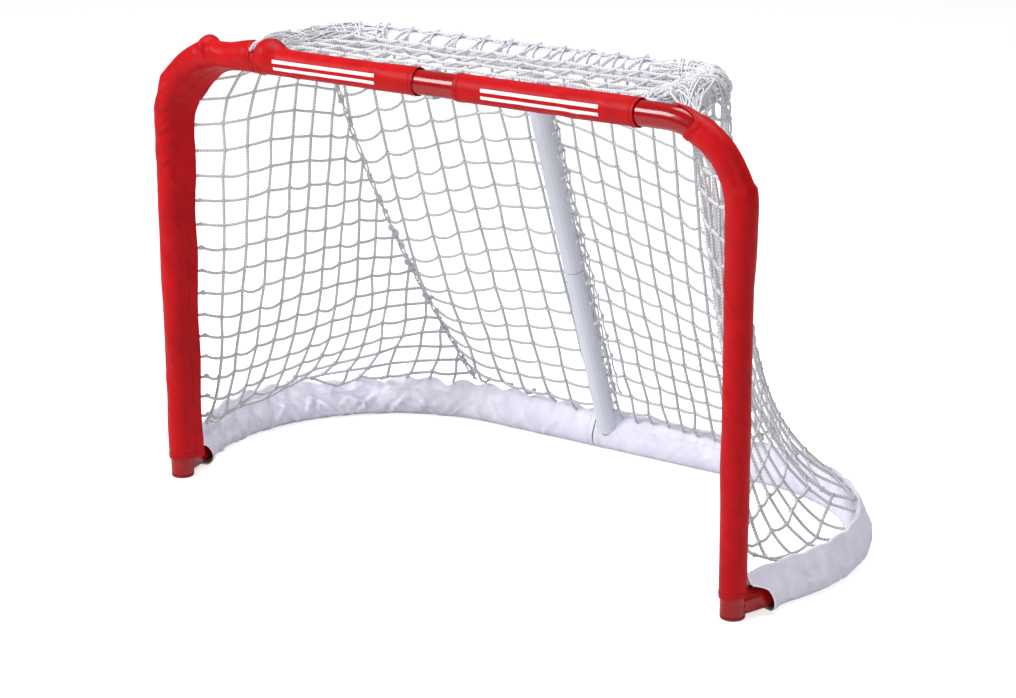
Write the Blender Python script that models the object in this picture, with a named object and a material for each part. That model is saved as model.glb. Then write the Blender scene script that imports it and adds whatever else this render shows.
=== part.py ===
"""Small hockey goal: a knock-down steel tube frame with fabric covers, skirts and a net.

Metres, +Z up. The origin is on the floor in the middle of the goal's box, the mouth faces -Y,
and +X is to the right of someone who looks into the mouth.
"""

import math

import bmesh
import bpy
from mathutils import Matrix, Vector

# Overall size
FRONT_WIDTH = 0.91
HEIGHT = 0.61
DEPTH = 0.46

# Gap that touching pieces keep
CLEARANCE = 0.0003

# Front frame
FRONT_TUBE_OD = 0.031
FRONT_TUBE_WALL = 0.0012
CORNER_RADIUS = 0.100
CROSSBAR_SEAM_X = -0.018
CAP_FLANGE = 0.004
CAP_PLUG_LENGTH = 0.014
CAP_EDGE_RADIUS = 0.0025

# Base, shelf and strut
BACK_TUBE_OD = 0.0286
BACK_TUBE_WALL = 0.0012
BASE_TOE_OUT = math.radians(17)
BASE_STRAIGHT = 0.095
BASE_SEAM_X = -0.038
SOCKET_REACH = 0.075
SOCKET_WALL = 0.0010
SHELF_DEPTH = 0.205
SHELF_HALF_WIDTH = 0.300
SHELF_CORNER_RADIUS = 0.060
STRUT_SEAM_HEIGHT = 0.287
STRUT_FOOT_X = -0.020
STRUT_HEAD_X = 0.0

# Tube joints
JOINT_INSERT = 0.050
SWAGE_LENGTH = 0.001
SPIGOT_LENGTH = 0.045

# Snap buttons
BUTTON_SETBACK = 0.025
BUTTON_RADIUS = 0.004
BUTTON_PROUD = 0.003
BUTTON_FLANGE_RADIUS = 0.005
BUTTON_FLANGE = 0.0009
BUTTON_HOLE_CLEARANCE = 0.0004
LEAF_WIDTH = 0.007
LEAF_THICKNESS = 0.0008
LEAF_REACH = 0.030
LEAF_BEND_RADIUS = 0.003

# Fabric
SLEEVE_THICKNESS = 0.0012
POST_SLEEVE_BOTTOM = 0.028
POST_SLEEVE_TIP = 0.036
CROSSBAR_SLEEVE_TIP = 0.022
LEFT_SLEEVE_MEETING_X = -(SHELF_HALF_WIDTH - 0.028)
RIGHT_CROSSBAR_SLEEVE_START = 0.043
RIGHT_CROSSBAR_SLEEVE_END = SHELF_HALF_WIDTH + 0.003
RIGHT_SLEEVE_FACETS = 6
SKIRT_THICKNESS = 0.0012
SKIRT_HEIGHT = 0.058
SKIRT_START = 0.045
NOTCH_MARGIN = 0.0012

# Net
NET_CORD = 0.003
LACING_CORD = 0.0025
NET_SLACK = 0.005
NET_SAG = 0.020
NET_FLARE = 0.080
SEAM_SAG = 0.030
SEAM_FOOT_ANGLE = math.radians(83)
SEAM_HEAD_ANGLE = math.radians(18)
REAR_COLUMNS, REAR_ROWS = 15, 8
SIDE_COLUMNS, SIDE_ROWS = 8, 9
TOP_COLUMNS, TOP_ROWS = 11, 3
LACING_PITCH = 0.036

# Facets
SIDES = 16
CUTTER_SIDES = 24
SMALL_SIDES = 12
CORNER_STEPS = 8
BASE_STEPS = 10

# Radii that follow from the tubes
FRONT_R = FRONT_TUBE_OD / 2
BACK_R = BACK_TUBE_OD / 2
FRONT_BORE = FRONT_R - FRONT_TUBE_WALL
BACK_BORE = BACK_R - BACK_TUBE_WALL
FRONT_MALE_R = FRONT_BORE - CLEARANCE
BACK_MALE_R = BACK_BORE - CLEARANCE
SOCKET_BORE = BACK_R + CLEARANCE
SOCKET_R = SOCKET_BORE + SOCKET_WALL
SLEEVE_BORE = FRONT_R + CLEARANCE
SLEEVE_R = SLEEVE_BORE + SLEEVE_THICKNESS
SKIRT_BORE = SOCKET_R + CLEARANCE
SKIRT_R = SKIRT_BORE + SKIRT_THICKNESS
NOTCH_R = BACK_R + NOTCH_MARGIN
NET_HALF = NET_CORD / 2
NET_GAP = CLEARANCE + NET_HALF
NET_OFFSET = BACK_R + NET_GAP

# Places that follow from the overall size
POST_X = FRONT_WIDTH / 2 - SLEEVE_R
POST_Y = -DEPTH / 2 + SLEEVE_R
CROSSBAR_Z = HEIGHT - SLEEVE_R
BASE_Y = DEPTH / 2 - SKIRT_R
BASE_Z = SKIRT_R
SHELF_Y = POST_Y + SHELF_DEPTH
SHELF_Z = HEIGHT - max(SLEEVE_R, BACK_R + CLEARANCE + NET_CORD)
BASE_BEND_Y = POST_Y + BASE_STRAIGHT
BASE_BEND_X = POST_X + BASE_STRAIGHT * math.tan(BASE_TOE_OUT)
BASE_RADIUS = (BASE_Y - BASE_BEND_Y) / (1 + math.sin(BASE_TOE_OUT))
BASE_CENTRE_X = BASE_BEND_X - BASE_RADIUS * math.cos(BASE_TOE_OUT)
BASE_CENTRE_Y = BASE_BEND_Y + BASE_RADIUS * math.sin(BASE_TOE_OUT)

# The strut's axis, from the base tube's axis up to the shelf's
STRUT_FOOT = Vector((STRUT_FOOT_X, BASE_Y, BASE_Z))
STRUT_HEAD = Vector((STRUT_HEAD_X, SHELF_Y, SHELF_Z))
STRUT_LENGTH = (STRUT_HEAD - STRUT_FOOT).length
STRUT_UP = (STRUT_HEAD - STRUT_FOOT).normalized()
REAR_OUT = Vector((0, SHELF_Z - BASE_Z, BASE_Y - SHELF_Y)).normalized()
STRUT_ACROSS = REAR_OUT.cross(STRUT_UP)
SEAT = BACK_R * (1 + abs(STRUT_UP.x)) + CLEARANCE

X_AXIS = Vector((1, 0, 0))
Y_AXIS = Vector((0, 1, 0))
Z_AXIS = Vector((0, 0, 1))


def material(name, rgb, roughness, metallic=0.0):
    """A Principled material, named for the real finish."""
    made = bpy.data.materials.new(name)
    made.use_nodes = True
    shader = made.node_tree.nodes["Principled BSDF"]
    shader.inputs["Base Color"].default_value = (*rgb, 1)
    shader.inputs["Roughness"].default_value = roughness
    shader.inputs["Metallic"].default_value = metallic
    made.diffuse_color = (*rgb, 1)
    return made


def make_materials():
    """Every finish of the goal."""
    return {
        "red_paint": material("red_powder_coat", (0.55, 0.01, 0.015), 0.3),
        "white_paint": material("white_powder_coat", (0.75, 0.76, 0.78), 0.35),
        "grey_paint": material("pale_grey_powder_coat", (0.50, 0.54, 0.62), 0.35),
        "red_cap": material("red_moulded_cap", (0.45, 0.01, 0.015), 0.5),
        "red_fabric": material("red_coated_fabric", (0.62, 0.012, 0.02), 0.55),
        "white_fabric": material("white_coated_fabric", (0.72, 0.72, 0.85), 0.6),
        "net_cord": material("white_knotted_cord", (0.70, 0.70, 0.68), 0.8),
        "plated_steel": material("zinc_plated_steel", (0.60, 0.61, 0.62), 0.3, 1.0),
        "spring_steel": material("blued_spring_steel", (0.25, 0.27, 0.32), 0.35, 1.0),
    }


def new_object(name, mesh, finish, smooth=math.radians(35)):
    """Links a mesh as an object with its finish and smooth round faces."""
    obj = bpy.data.objects.new(name, mesh)
    bpy.context.collection.objects.link(obj)
    mesh.materials.append(finish)
    mesh.shade_smooth()
    mesh.set_sharp_from_angle(angle=smooth)
    return obj


def mesh_from(bm, name):
    """Turns a closed bmesh into a mesh whose faces point out."""
    bmesh.ops.recalc_face_normals(bm, faces=bm.faces)
    mesh = bpy.data.meshes.new(name)
    bm.to_mesh(mesh)
    bm.free()
    return mesh


def circle(radius):
    """A round section, as the radius at each angle."""
    return lambda angle: radius


def teardrop(radius, tip, point_to, wall=0.0):
    """A round section drawn out to one tip; a wall keeps the same thickness all round."""
    open_angle = math.acos(radius / tip)

    def reach(angle):
        off = abs(math.remainder(angle - point_to, 2 * math.pi))
        return (radius - wall) / math.cos(max(open_angle - off, 0.0))

    return reach


def direction(path, i):
    """The way a path runs at one of its points."""
    before = path[max(i - 1, 0)]
    after = path[min(i + 1, len(path) - 1)]
    return (after - before).normalized()


def ring(path, i, flat, section):
    """One section's points round a path, the first one towards the flat direction."""
    across = direction(path, i).cross(flat).normalized()
    points = []
    for k in range(SIDES):
        angle = 2 * math.pi * k / SIDES
        reach = section(angle)
        points.append(path[i] + (flat * math.cos(angle) + across * math.sin(angle)) * reach)
    return points


def bridge(bm, one, other):
    """Quads between two rings of vertices."""
    count = len(one)
    for k in range(count):
        n = (k + 1) % count
        bm.faces.new((one[k], one[n], other[n], other[k]))


def hollow(name, path, flat, outer, inner, finish, origin):
    """A hollow body swept along a path: outer and inner hold one section for each point."""
    bm = bmesh.new()
    shells = []
    for sections in (outer, inner):
        rings = []
        for i in range(len(path)):
            points = ring(path, i, flat, sections[i])
            rings.append([bm.verts.new(p - origin) for p in points])
        for one, other in zip(rings, rings[1:]):
            bridge(bm, one, other)
        shells.append(rings)
    bridge(bm, shells[0][0], shells[1][0])
    bridge(bm, shells[0][-1], shells[1][-1])
    obj = new_object(name, mesh_from(bm, name), finish)
    obj.location = origin
    return obj


def tube(name, path, flat, radius, wall, finish, origin, male_end=None):
    """A round tube; male_end is the way that its reduced last stretch runs."""
    path = list(path)
    radii = [radius] * len(path)
    if male_end is not None:
        shoulder = path[-1]
        reduced = radius - wall - CLEARANCE
        path.append(shoulder + male_end * SWAGE_LENGTH)
        path.append(shoulder + male_end * JOINT_INSERT)
        radii += [reduced, reduced]
    outer = [circle(r) for r in radii]
    inner = [circle(r - wall) for r in radii]
    return hollow(name, path, flat, outer, inner, finish, origin)


def wrapped(name, path, flat, radius, tip, point_to, wall, finish, origin):
    """A fabric cover of one section all along a path."""
    outer = [teardrop(radius, tip, point_to)] * len(path)
    inner = [teardrop(radius, tip, point_to, wall)] * len(path)
    return hollow(name, path, flat, outer, inner, finish, origin)


def aligned(axis, along):
    """A rotation with local Z on an axis and local X along another direction."""
    across = axis.cross(along).normalized()
    return Matrix((along.normalized(), across, axis.normalized())).transposed()


def lathe(name, profile, finish, place, rotation, sides=SMALL_SIDES):
    """A solid turned round local Z from (radius, height) points, bottom to top."""
    bm = bmesh.new()
    rings = []
    for radius, height in profile:
        points = []
        for k in range(sides):
            angle = 2 * math.pi * k / sides
            points.append((radius * math.cos(angle), radius * math.sin(angle), height))
        rings.append([bm.verts.new(p) for p in points])
    for one, other in zip(rings, rings[1:]):
        bridge(bm, one, other)
    bm.faces.new(rings[0])
    bm.faces.new(rings[-1])
    obj = new_object(name, mesh_from(bm, name), finish)
    obj.matrix_world = Matrix.Translation(place) @ rotation.to_4x4()
    return obj


def cutter(name, start, axis, radius, length):
    """A hidden cylinder that other pieces are cut with."""
    bm = bmesh.new()
    apothem = math.cos(math.pi / CUTTER_SIDES)
    bmesh.ops.create_cone(
        bm,
        cap_ends=True,
        segments=CUTTER_SIDES,
        radius1=radius / apothem,
        radius2=radius / apothem,
        depth=length,
    )
    bmesh.ops.translate(bm, verts=bm.verts, vec=(0, 0, length / 2))
    mesh = mesh_from(bm, name)
    obj = bpy.data.objects.new(name, mesh)
    bpy.context.collection.objects.link(obj)
    turn = axis.to_track_quat("Z", "Y").to_matrix()
    obj.matrix_world = Matrix.Translation(start) @ turn.to_4x4()
    obj.hide_render = True
    obj.display_type = "WIRE"
    return obj


def cut(obj, tool):
    """Cuts one piece with a cutter."""
    modifier = obj.modifiers.new(tool.name, "BOOLEAN")
    modifier.operation = "DIFFERENCE"
    modifier.solver = "EXACT"
    modifier.object = tool


def mirrored(point, side):
    """A point of the right side, or the same one on the left."""
    return Vector((side * point[0], point[1], point[2]))


def front_path(side, end_x):
    """The front tube's axis from its foot, up the post and along the crossbar to end_x."""
    points = [(POST_X, POST_Y, CAP_FLANGE + CLEARANCE), (POST_X, POST_Y, CROSSBAR_Z - CORNER_RADIUS)]
    points += corner_points(0, math.pi / 2, CORNER_STEPS)[1:]
    path = [mirrored(p, side) for p in points]
    path.append(Vector((end_x, POST_Y, CROSSBAR_Z)))
    return path


def corner_points(start, stop, steps, radius=CORNER_RADIUS, y=POST_Y):
    """Points round the right upper corner, from the post (0) to the crossbar (90 degrees)."""
    points = []
    for k in range(steps + 1):
        angle = start + (stop - start) * k / steps
        x = POST_X - CORNER_RADIUS + radius * math.cos(angle)
        z = CROSSBAR_Z - CORNER_RADIUS + radius * math.sin(angle)
        points.append((x, y, z))
    return points


def base_point(run, height=BASE_Z, outward=0.0):
    """A point of the right base line, run metres from the post's axis, moved outward if asked."""
    straight = BASE_STRAIGHT / math.cos(BASE_TOE_OUT)
    bend = BASE_RADIUS * (math.pi / 2 + BASE_TOE_OUT)
    if run <= straight:
        x = POST_X + run * math.sin(BASE_TOE_OUT) + outward * math.cos(BASE_TOE_OUT)
        y = POST_Y + run * math.cos(BASE_TOE_OUT) - outward * math.sin(BASE_TOE_OUT)
        return Vector((x, y, height))
    if run <= straight + bend:
        angle = (run - straight) / BASE_RADIUS - BASE_TOE_OUT
        reach = BASE_RADIUS + outward
        x = BASE_CENTRE_X + reach * math.cos(angle)
        y = BASE_CENTRE_Y + reach * math.sin(angle)
        return Vector((x, y, height))
    return Vector((BASE_CENTRE_X - (run - straight - bend), BASE_Y + outward, height))


def base_path(side, start_run, end_x):
    """The base line from near a post, round the rear corner and along the rear to end_x."""
    straight = BASE_STRAIGHT / math.cos(BASE_TOE_OUT)
    bend = BASE_RADIUS * (math.pi / 2 + BASE_TOE_OUT)
    runs = [start_run] + [straight + bend * k / BASE_STEPS for k in range(BASE_STEPS + 1)]
    path = [mirrored(base_point(run), side) for run in runs]
    path.append(Vector((end_x, BASE_Y, BASE_Z)))
    return path


def base_way(side):
    """The way a base tube leaves its post."""
    return Vector((side * math.sin(BASE_TOE_OUT), math.cos(BASE_TOE_OUT), 0))


def shelf_path():
    """The shelf's axis, from the right arm's front end round the rear to the left arm's."""
    front_y = POST_Y + FRONT_R + CLEARANCE
    radius = SHELF_CORNER_RADIUS
    right = [Vector((SHELF_HALF_WIDTH, front_y, SHELF_Z))]
    for k in range(CORNER_STEPS - 1):
        angle = math.pi / 2 * k / (CORNER_STEPS - 2)
        x = SHELF_HALF_WIDTH - radius + radius * math.cos(angle)
        y = SHELF_Y - radius + radius * math.sin(angle)
        right.append(Vector((x, y, SHELF_Z)))
    left = [mirrored(p, -1) for p in reversed(right)]
    return right + left


def strut_point(run):
    """A point of the strut's axis, run metres above the base tube's axis."""
    return STRUT_FOOT + STRUT_UP * run


def make_front_frame(finish):
    """Two bent front tubes, joined in the crossbar, and a cap under each post."""
    seam = CROSSBAR_SEAM_X + SWAGE_LENGTH + CLEARANCE
    left_foot = Vector((-POST_X, POST_Y, 0))
    right_foot = Vector((POST_X, POST_Y, 0))
    made = {}
    made["left_front_tube"] = tube(
        "left_front_tube",
        front_path(-1, CROSSBAR_SEAM_X),
        Y_AXIS,
        FRONT_R,
        FRONT_TUBE_WALL,
        finish["red_paint"],
        left_foot,
        male_end=X_AXIS,
    )
    made["right_front_tube"] = tube(
        "right_front_tube",
        front_path(1, seam),
        Y_AXIS,
        FRONT_R,
        FRONT_TUBE_WALL,
        finish["red_paint"],
        right_foot,
    )
    for name, place in (("left_foot_cap", left_foot), ("right_foot_cap", right_foot)):
        made[name] = make_foot_cap(name, place, finish)
    return made


def make_foot_cap(name, place, finish):
    """A moulded plug under a post, with a rounded lower edge and a flat sole."""
    edge = CAP_EDGE_RADIUS
    profile = [
        (FRONT_R - edge, 0),
        (FRONT_R - edge * 0.3, edge * 0.3),
        (FRONT_R, edge),
        (FRONT_R, CAP_FLANGE),
        (FRONT_MALE_R, CAP_FLANGE),
        (FRONT_MALE_R, CAP_FLANGE + CAP_PLUG_LENGTH),
    ]
    return lathe(name, profile, finish["red_cap"], place, aligned(Z_AXIS, X_AXIS), SIDES)


def make_sockets(finish):
    """A short tube behind each post's foot that the base tube slides into."""
    made = {}
    for side, word in ((-1, "left"), (1, "right")):
        name = f"{word}_foot_socket"
        post = Vector((side * POST_X, POST_Y, BASE_Z))
        way = base_way(side)
        path = [post + way * (FRONT_R / 3), post + way * SOCKET_REACH]
        socket = tube(name, path, Z_AXIS, SOCKET_R, SOCKET_WALL, finish["red_paint"], post)
        below = post - Z_AXIS * BASE_Z
        saddle = cutter(f"{word}_post_saddle", below, Z_AXIS, FRONT_R + CLEARANCE, 4 * BASE_Z)
        cut(socket, saddle)
        made[name] = socket
    return made


def make_base(finish):
    """Two bent base tubes, joined at the rear; the right one's reduced end goes into the left."""
    start = FRONT_R + CLEARANCE + SWAGE_LENGTH
    seam = BASE_SEAM_X - SWAGE_LENGTH - CLEARANCE
    left_post = Vector((-POST_X, POST_Y, BASE_Z))
    right_post = Vector((POST_X, POST_Y, BASE_Z))
    left = tube(
        "left_base_tube",
        base_path(-1, start, seam),
        Z_AXIS,
        BACK_R,
        BACK_TUBE_WALL,
        finish["white_paint"],
        left_post,
    )
    right = tube(
        "right_base_tube",
        base_path(1, start, BASE_SEAM_X),
        Z_AXIS,
        BACK_R,
        BACK_TUBE_WALL,
        finish["white_paint"],
        right_post,
        male_end=-X_AXIS,
    )
    return {"left_base_tube": left, "right_base_tube": right}


def make_shelf(finish):
    """The bent tube behind the crossbar that holds the net's top open."""
    path = shelf_path()
    shelf = tube(
        "shelf_tube", path, Z_AXIS, BACK_R, BACK_TUBE_WALL, finish["white_paint"], STRUT_HEAD
    )
    return {"shelf_tube": shelf}


def make_strut(finish):
    """The two tubes between the shelf and the base; the upper one goes into the lower."""
    seam_run = (STRUT_SEAM_HEIGHT - BASE_Z) / STRUT_UP.z
    lower_top = strut_point(seam_run - SWAGE_LENGTH - CLEARANCE)
    lower = tube(
        "strut_lower_tube",
        [strut_point(SEAT), lower_top],
        STRUT_ACROSS,
        BACK_R,
        BACK_TUBE_WALL,
        finish["grey_paint"],
        STRUT_FOOT,
    )
    upper = tube(
        "strut_upper_tube",
        [strut_point(STRUT_LENGTH - SEAT), strut_point(seam_run)],
        STRUT_ACROSS,
        BACK_R,
        BACK_TUBE_WALL,
        finish["grey_paint"],
        STRUT_HEAD,
        male_end=-STRUT_UP,
    )
    return {"strut_lower_tube": lower, "strut_upper_tube": upper}


def make_spigot(name, root, way, flat, carrier_axis, carrier_radius, carrier, finish):
    """A short inner tube, saddled on its carrier, that a frame tube slides over."""
    path = [root + way * (carrier_radius / 2), root + way * (carrier_radius + SPIGOT_LENGTH)]
    spigot = tube(name, path, flat, BACK_MALE_R, BACK_TUBE_WALL, finish, root)
    start = carrier - carrier_axis * SPIGOT_LENGTH
    saddle = cutter(
        f"{name}_saddle", start, carrier_axis, carrier_radius + CLEARANCE, 2 * SPIGOT_LENGTH
    )
    cut(spigot, saddle)
    return spigot


def make_spigots(finish):
    """The spigots behind the crossbar, on the base and under the shelf."""
    made = {}
    for side, word in ((-1, "left"), (1, "right")):
        name = f"{word}_shelf_spigot"
        root = Vector((side * SHELF_HALF_WIDTH, POST_Y, SHELF_Z))
        carrier = Vector((side * SHELF_HALF_WIDTH, POST_Y, CROSSBAR_Z))
        made[name] = make_spigot(
            name, root, Y_AXIS, Z_AXIS, X_AXIS, FRONT_R, carrier, finish["red_paint"]
        )
    made["base_spigot"] = make_spigot(
        "base_spigot", STRUT_FOOT, STRUT_UP, STRUT_ACROSS, X_AXIS, BACK_R, STRUT_FOOT,
        finish["white_paint"],
    )
    made["shelf_spigot"] = make_spigot(
        "shelf_spigot", STRUT_HEAD, -STRUT_UP, STRUT_ACROSS, X_AXIS, BACK_R, STRUT_HEAD,
        finish["white_paint"],
    )
    return made


def make_button(word, centre, axis, inward, bore, skin, drilled, finish):
    """A snap button and its leaf spring inside a joint, and the holes it comes through.

    inward is the way along the inner tube that the spring reaches; bore is that tube's inner
    radius and skin the outer tube's outer radius.
    """
    facet = bore * math.cos(math.pi / SIDES)
    flange_top = math.sqrt(facet**2 - BUTTON_FLANGE_RADIUS**2) - CLEARANCE
    flange_bottom = flange_top - BUTTON_FLANGE
    top = skin + BUTTON_PROUD
    dome = BUTTON_PROUD * 0.6
    profile = [
        (BUTTON_FLANGE_RADIUS, flange_bottom),
        (BUTTON_FLANGE_RADIUS, flange_top),
        (BUTTON_RADIUS, flange_top),
        (BUTTON_RADIUS, top - dome),
        (BUTTON_RADIUS * 0.87, top - dome * 0.5),
        (BUTTON_RADIUS * 0.5, top - dome * 0.13),
        (BUTTON_RADIUS * 0.15, top),
    ]
    turn = aligned(axis, inward)
    button = lathe(f"{word}_button", profile, finish["plated_steel"], centre, turn)
    hole_radius = BUTTON_RADIUS + BUTTON_HOLE_CLEARANCE
    hole = cutter(f"{word}_button_hole", centre + axis * flange_top / 2, axis, hole_radius, skin)
    for obj in drilled:
        cut(obj, hole)
    leaf_top = flange_bottom - CLEARANCE - LEAF_THICKNESS / 2
    half_width = LEAF_WIDTH / 2
    leaf_seat = -(math.sqrt(facet**2 - half_width**2) - CLEARANCE - LEAF_THICKNESS / 2)
    leaf = make_leaf(f"{word}_button_spring", leaf_top, leaf_seat, finish["spring_steel"])
    leaf.matrix_world = Matrix.Translation(centre) @ turn.to_4x4()
    return {f"{word}_button": button, f"{word}_button_spring": leaf}


def make_leaf(name, top, seat, finish):
    """A strip bent into a V: under the button, round a bend, and back along the far wall."""
    middle = (top + seat) / 2
    bend = LEAF_BEND_RADIUS
    under = BUTTON_FLANGE_RADIUS
    line = [(-under, top), (under, top)]
    for k in range(5):
        angle = math.pi / 2 - math.pi * k / 4
        line.append((LEAF_REACH + bend * math.cos(angle), middle + bend * math.sin(angle)))
    line += [(under, seat), (-under, seat)]
    bm = bmesh.new()
    rows = []
    for i, (x, z) in enumerate(line):
        way = direction([Vector((p[0], 0, p[1])) for p in line], i)
        out = Vector((way.z, 0, -way.x)) * (LEAF_THICKNESS / 2)
        here = Vector((x, 0, z))
        side = Vector((0, LEAF_WIDTH / 2, 0))
        corners = (here + out + side, here + out - side, here - out - side, here - out + side)
        rows.append([bm.verts.new(c) for c in corners])
    for one, other in zip(rows, rows[1:]):
        bridge(bm, one, other)
    bm.faces.new(rows[0])
    bm.faces.new(rows[-1])
    return new_object(name, mesh_from(bm, name), finish)


def make_buttons(parts, finish):
    """One snap button at each tube joint."""
    made = {}
    crossbar = Vector((CROSSBAR_SEAM_X + BUTTON_SETBACK, POST_Y, CROSSBAR_Z))
    made |= make_button(
        "crossbar", crossbar, -Z_AXIS, -X_AXIS, FRONT_MALE_R - FRONT_TUBE_WALL, FRONT_R,
        [parts["left_front_tube"], parts["right_front_tube"]], finish,
    )
    rear = Vector((BASE_SEAM_X - BUTTON_SETBACK, BASE_Y, BASE_Z))
    made |= make_button(
        "base", rear, Z_AXIS, X_AXIS, BACK_MALE_R - BACK_TUBE_WALL, BACK_R,
        [parts["left_base_tube"], parts["right_base_tube"]], finish,
    )
    seam_run = (STRUT_SEAM_HEIGHT - BASE_Z) / STRUT_UP.z
    made |= make_button(
        "strut", strut_point(seam_run - BUTTON_SETBACK), -STRUT_ACROSS, STRUT_UP,
        BACK_MALE_R - BACK_TUBE_WALL, BACK_R,
        [parts["strut_lower_tube"], parts["strut_upper_tube"]], finish,
    )
    for side, word in ((-1, "left"), (1, "right")):
        way = base_way(side)
        middle = (SKIRT_START + SOCKET_REACH) / 2
        foot = Vector((side * POST_X, POST_Y, BASE_Z)) + way * middle
        made |= make_button(
            f"{word}_foot", foot, Z_AXIS, way, BACK_BORE, SOCKET_R,
            [parts[f"{word}_foot_socket"], parts[f"{word}_base_tube"]], finish,
        )
        arm = Vector((side * SHELF_HALF_WIDTH, POST_Y + FRONT_R + BUTTON_SETBACK, SHELF_Z))
        made |= make_button(
            f"{word}_shelf", arm, -Z_AXIS, Y_AXIS, BACK_MALE_R - BACK_TUBE_WALL, BACK_R,
            [parts[f"{word}_shelf_spigot"], parts["shelf_tube"]], finish,
        )
    return made


def make_post_sleeve(word, side, end_points, finish):
    """The fabric cover of one post and its corner, gathered to a tip behind and inside."""
    points = [(POST_X, POST_Y, POST_SLEEVE_BOTTOM), (POST_X, POST_Y, CROSSBAR_Z - CORNER_RADIUS)]
    path = [mirrored(p, side) for p in points + end_points]
    return wrapped(
        f"{word}_post_sleeve", path, Y_AXIS, SLEEVE_R, POST_SLEEVE_TIP, side * math.pi / 4,
        SLEEVE_THICKNESS, finish["red_fabric"], path[0],
    )


def make_crossbar_sleeve(word, side, start_x, end_x, finish):
    """The fabric cover of one half of the crossbar, its tip behind and below."""
    path = [Vector((x, POST_Y, CROSSBAR_Z)) for x in (start_x, (start_x + end_x) / 2, end_x)]
    return wrapped(
        f"{word}_crossbar_sleeve", path, Y_AXIS, SLEEVE_R, CROSSBAR_SLEEVE_TIP,
        side * math.pi / 4, SLEEVE_THICKNESS, finish["red_fabric"], path[0],
    )


def make_sleeves(finish):
    """The red covers of the front frame."""
    left_corner = corner_points(0, math.pi / 2, CORNER_STEPS)[1:]
    right_corner = left_corner[:RIGHT_SLEEVE_FACETS]
    left_corner.append((-LEFT_SLEEVE_MEETING_X, POST_Y, CROSSBAR_Z))
    made = {
        "right_post_sleeve": make_post_sleeve("right", 1, right_corner, finish),
        "left_post_sleeve": make_post_sleeve("left", -1, left_corner, finish),
        "left_crossbar_sleeve": make_crossbar_sleeve(
            "left", -1, LEFT_SLEEVE_MEETING_X + CLEARANCE, CROSSBAR_SEAM_X, finish
        ),
        "right_crossbar_sleeve": make_crossbar_sleeve(
            "right", 1, RIGHT_CROSSBAR_SLEEVE_END, RIGHT_CROSSBAR_SLEEVE_START, finish
        ),
    }
    sleeves_over_arms = ("left_post_sleeve", "right_crossbar_sleeve")
    for side, word, sleeve in zip((-1, 1), ("left", "right"), sleeves_over_arms):
        arm = Vector((side * SHELF_HALF_WIDTH, POST_Y, SHELF_Z))
        notch = cutter(f"{word}_arm_notch", arm, Y_AXIS, NOTCH_R, 2 * POST_SLEEVE_TIP)
        cut(made[sleeve], notch)
        foot = Vector((side * POST_X, POST_Y, BASE_Z))
        reach = SOCKET_R + NOTCH_MARGIN
        notch = cutter(f"{word}_stub_notch", foot, base_way(side), reach, 2 * POST_SLEEVE_TIP)
        cut(made[f"{word}_post_sleeve"], notch)
    return made


def make_skirts(finish):
    """The white covers of the base tubes, drawn up to the edge that the net is sewn to."""
    start = SKIRT_START
    tip = SKIRT_HEIGHT - BASE_Z
    made = {}
    ends = ((-1, "left", BASE_SEAM_X - CLEARANCE), (1, "right", BASE_SEAM_X + CLEARANCE))
    for side, word, end_x in ends:
        path = base_path(side, start, end_x)
        name = f"{word}_skirt"
        made[name] = wrapped(
            name, path, Z_AXIS, SKIRT_R, tip, 0.0, SKIRT_THICKNESS, finish["white_fabric"], path[0]
        )
    notch_start = strut_point(math.sqrt(SKIRT_BORE**2 - NOTCH_R**2) / 2)
    notch = cutter("skirt_notch", notch_start, STRUT_UP, NOTCH_R, SKIRT_HEIGHT * 2)
    cut(made["right_skirt"], notch)
    return made


def along(points):
    """A function that walks a row of points at an even pace, from 0 to 1."""
    points = [Vector(p) for p in points]
    lengths = [0.0]
    for a, b in zip(points, points[1:]):
        lengths.append(lengths[-1] + (b - a).length)

    def walk(share):
        run = min(max(share, 0.0), 1.0) * lengths[-1]
        for i in range(len(points) - 1):
            if run <= lengths[i + 1] or i == len(points) - 2:
                span = lengths[i + 1] - lengths[i]
                return points[i].lerp(points[i + 1], (run - lengths[i]) / span)
        return points[-1]

    return walk


def side_patch(bottom, top, front, back):
    """A surface of straight rows between front and back that flares to its lower and upper edges."""
    rise = SHELF_Z - SKIRT_HEIGHT

    def surface(u, v):
        point = front(v).lerp(back(v), u)
        point += (bottom(u) - front(0).lerp(back(0), u)) * math.exp(-v * rise / NET_FLARE)
        point += (top(u) - front(1).lerp(back(1), u)) * math.exp((v - 1) * rise / NET_FLARE)
        return point - X_AXIS * (NET_SAG * math.sin(math.pi * u) * math.sin(math.pi * v))

    return surface


def netting(name, surface, columns, rows, finish, side=1):
    """An open net of square gaps over a surface."""
    bm = bmesh.new()
    grid = []
    for j in range(rows + 1):
        line = []
        for i in range(columns + 1):
            line.append(bm.verts.new(mirrored(surface(i / columns, j / rows), side)))
        grid.append(line)
    for j in range(rows):
        for i in range(columns):
            bm.faces.new((grid[j][i], grid[j][i + 1], grid[j + 1][i + 1], grid[j + 1][i]))
    obj = new_object(name, mesh_from(bm, name), finish)
    wire = obj.modifiers.new("cords", "WIREFRAME")
    wire.thickness = NET_CORD
    wire.offset = 0.0
    wire.use_boundary = True
    wire.use_even_offset = True
    wire.use_replace = True
    return obj


def shelf_outline(angle, slack=0.0):
    """A point on the net's upper edge, round the right rear corner of the shelf from its arm."""
    reach = SHELF_CORNER_RADIUS + (NET_OFFSET + slack) * REAR_OUT.y
    x = SHELF_HALF_WIDTH - SHELF_CORNER_RADIUS + reach * math.cos(angle)
    y = SHELF_Y - SHELF_CORNER_RADIUS + reach * math.sin(angle)
    return Vector((x, y, SHELF_Z + (NET_OFFSET + slack) * REAR_OUT.z))


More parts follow.
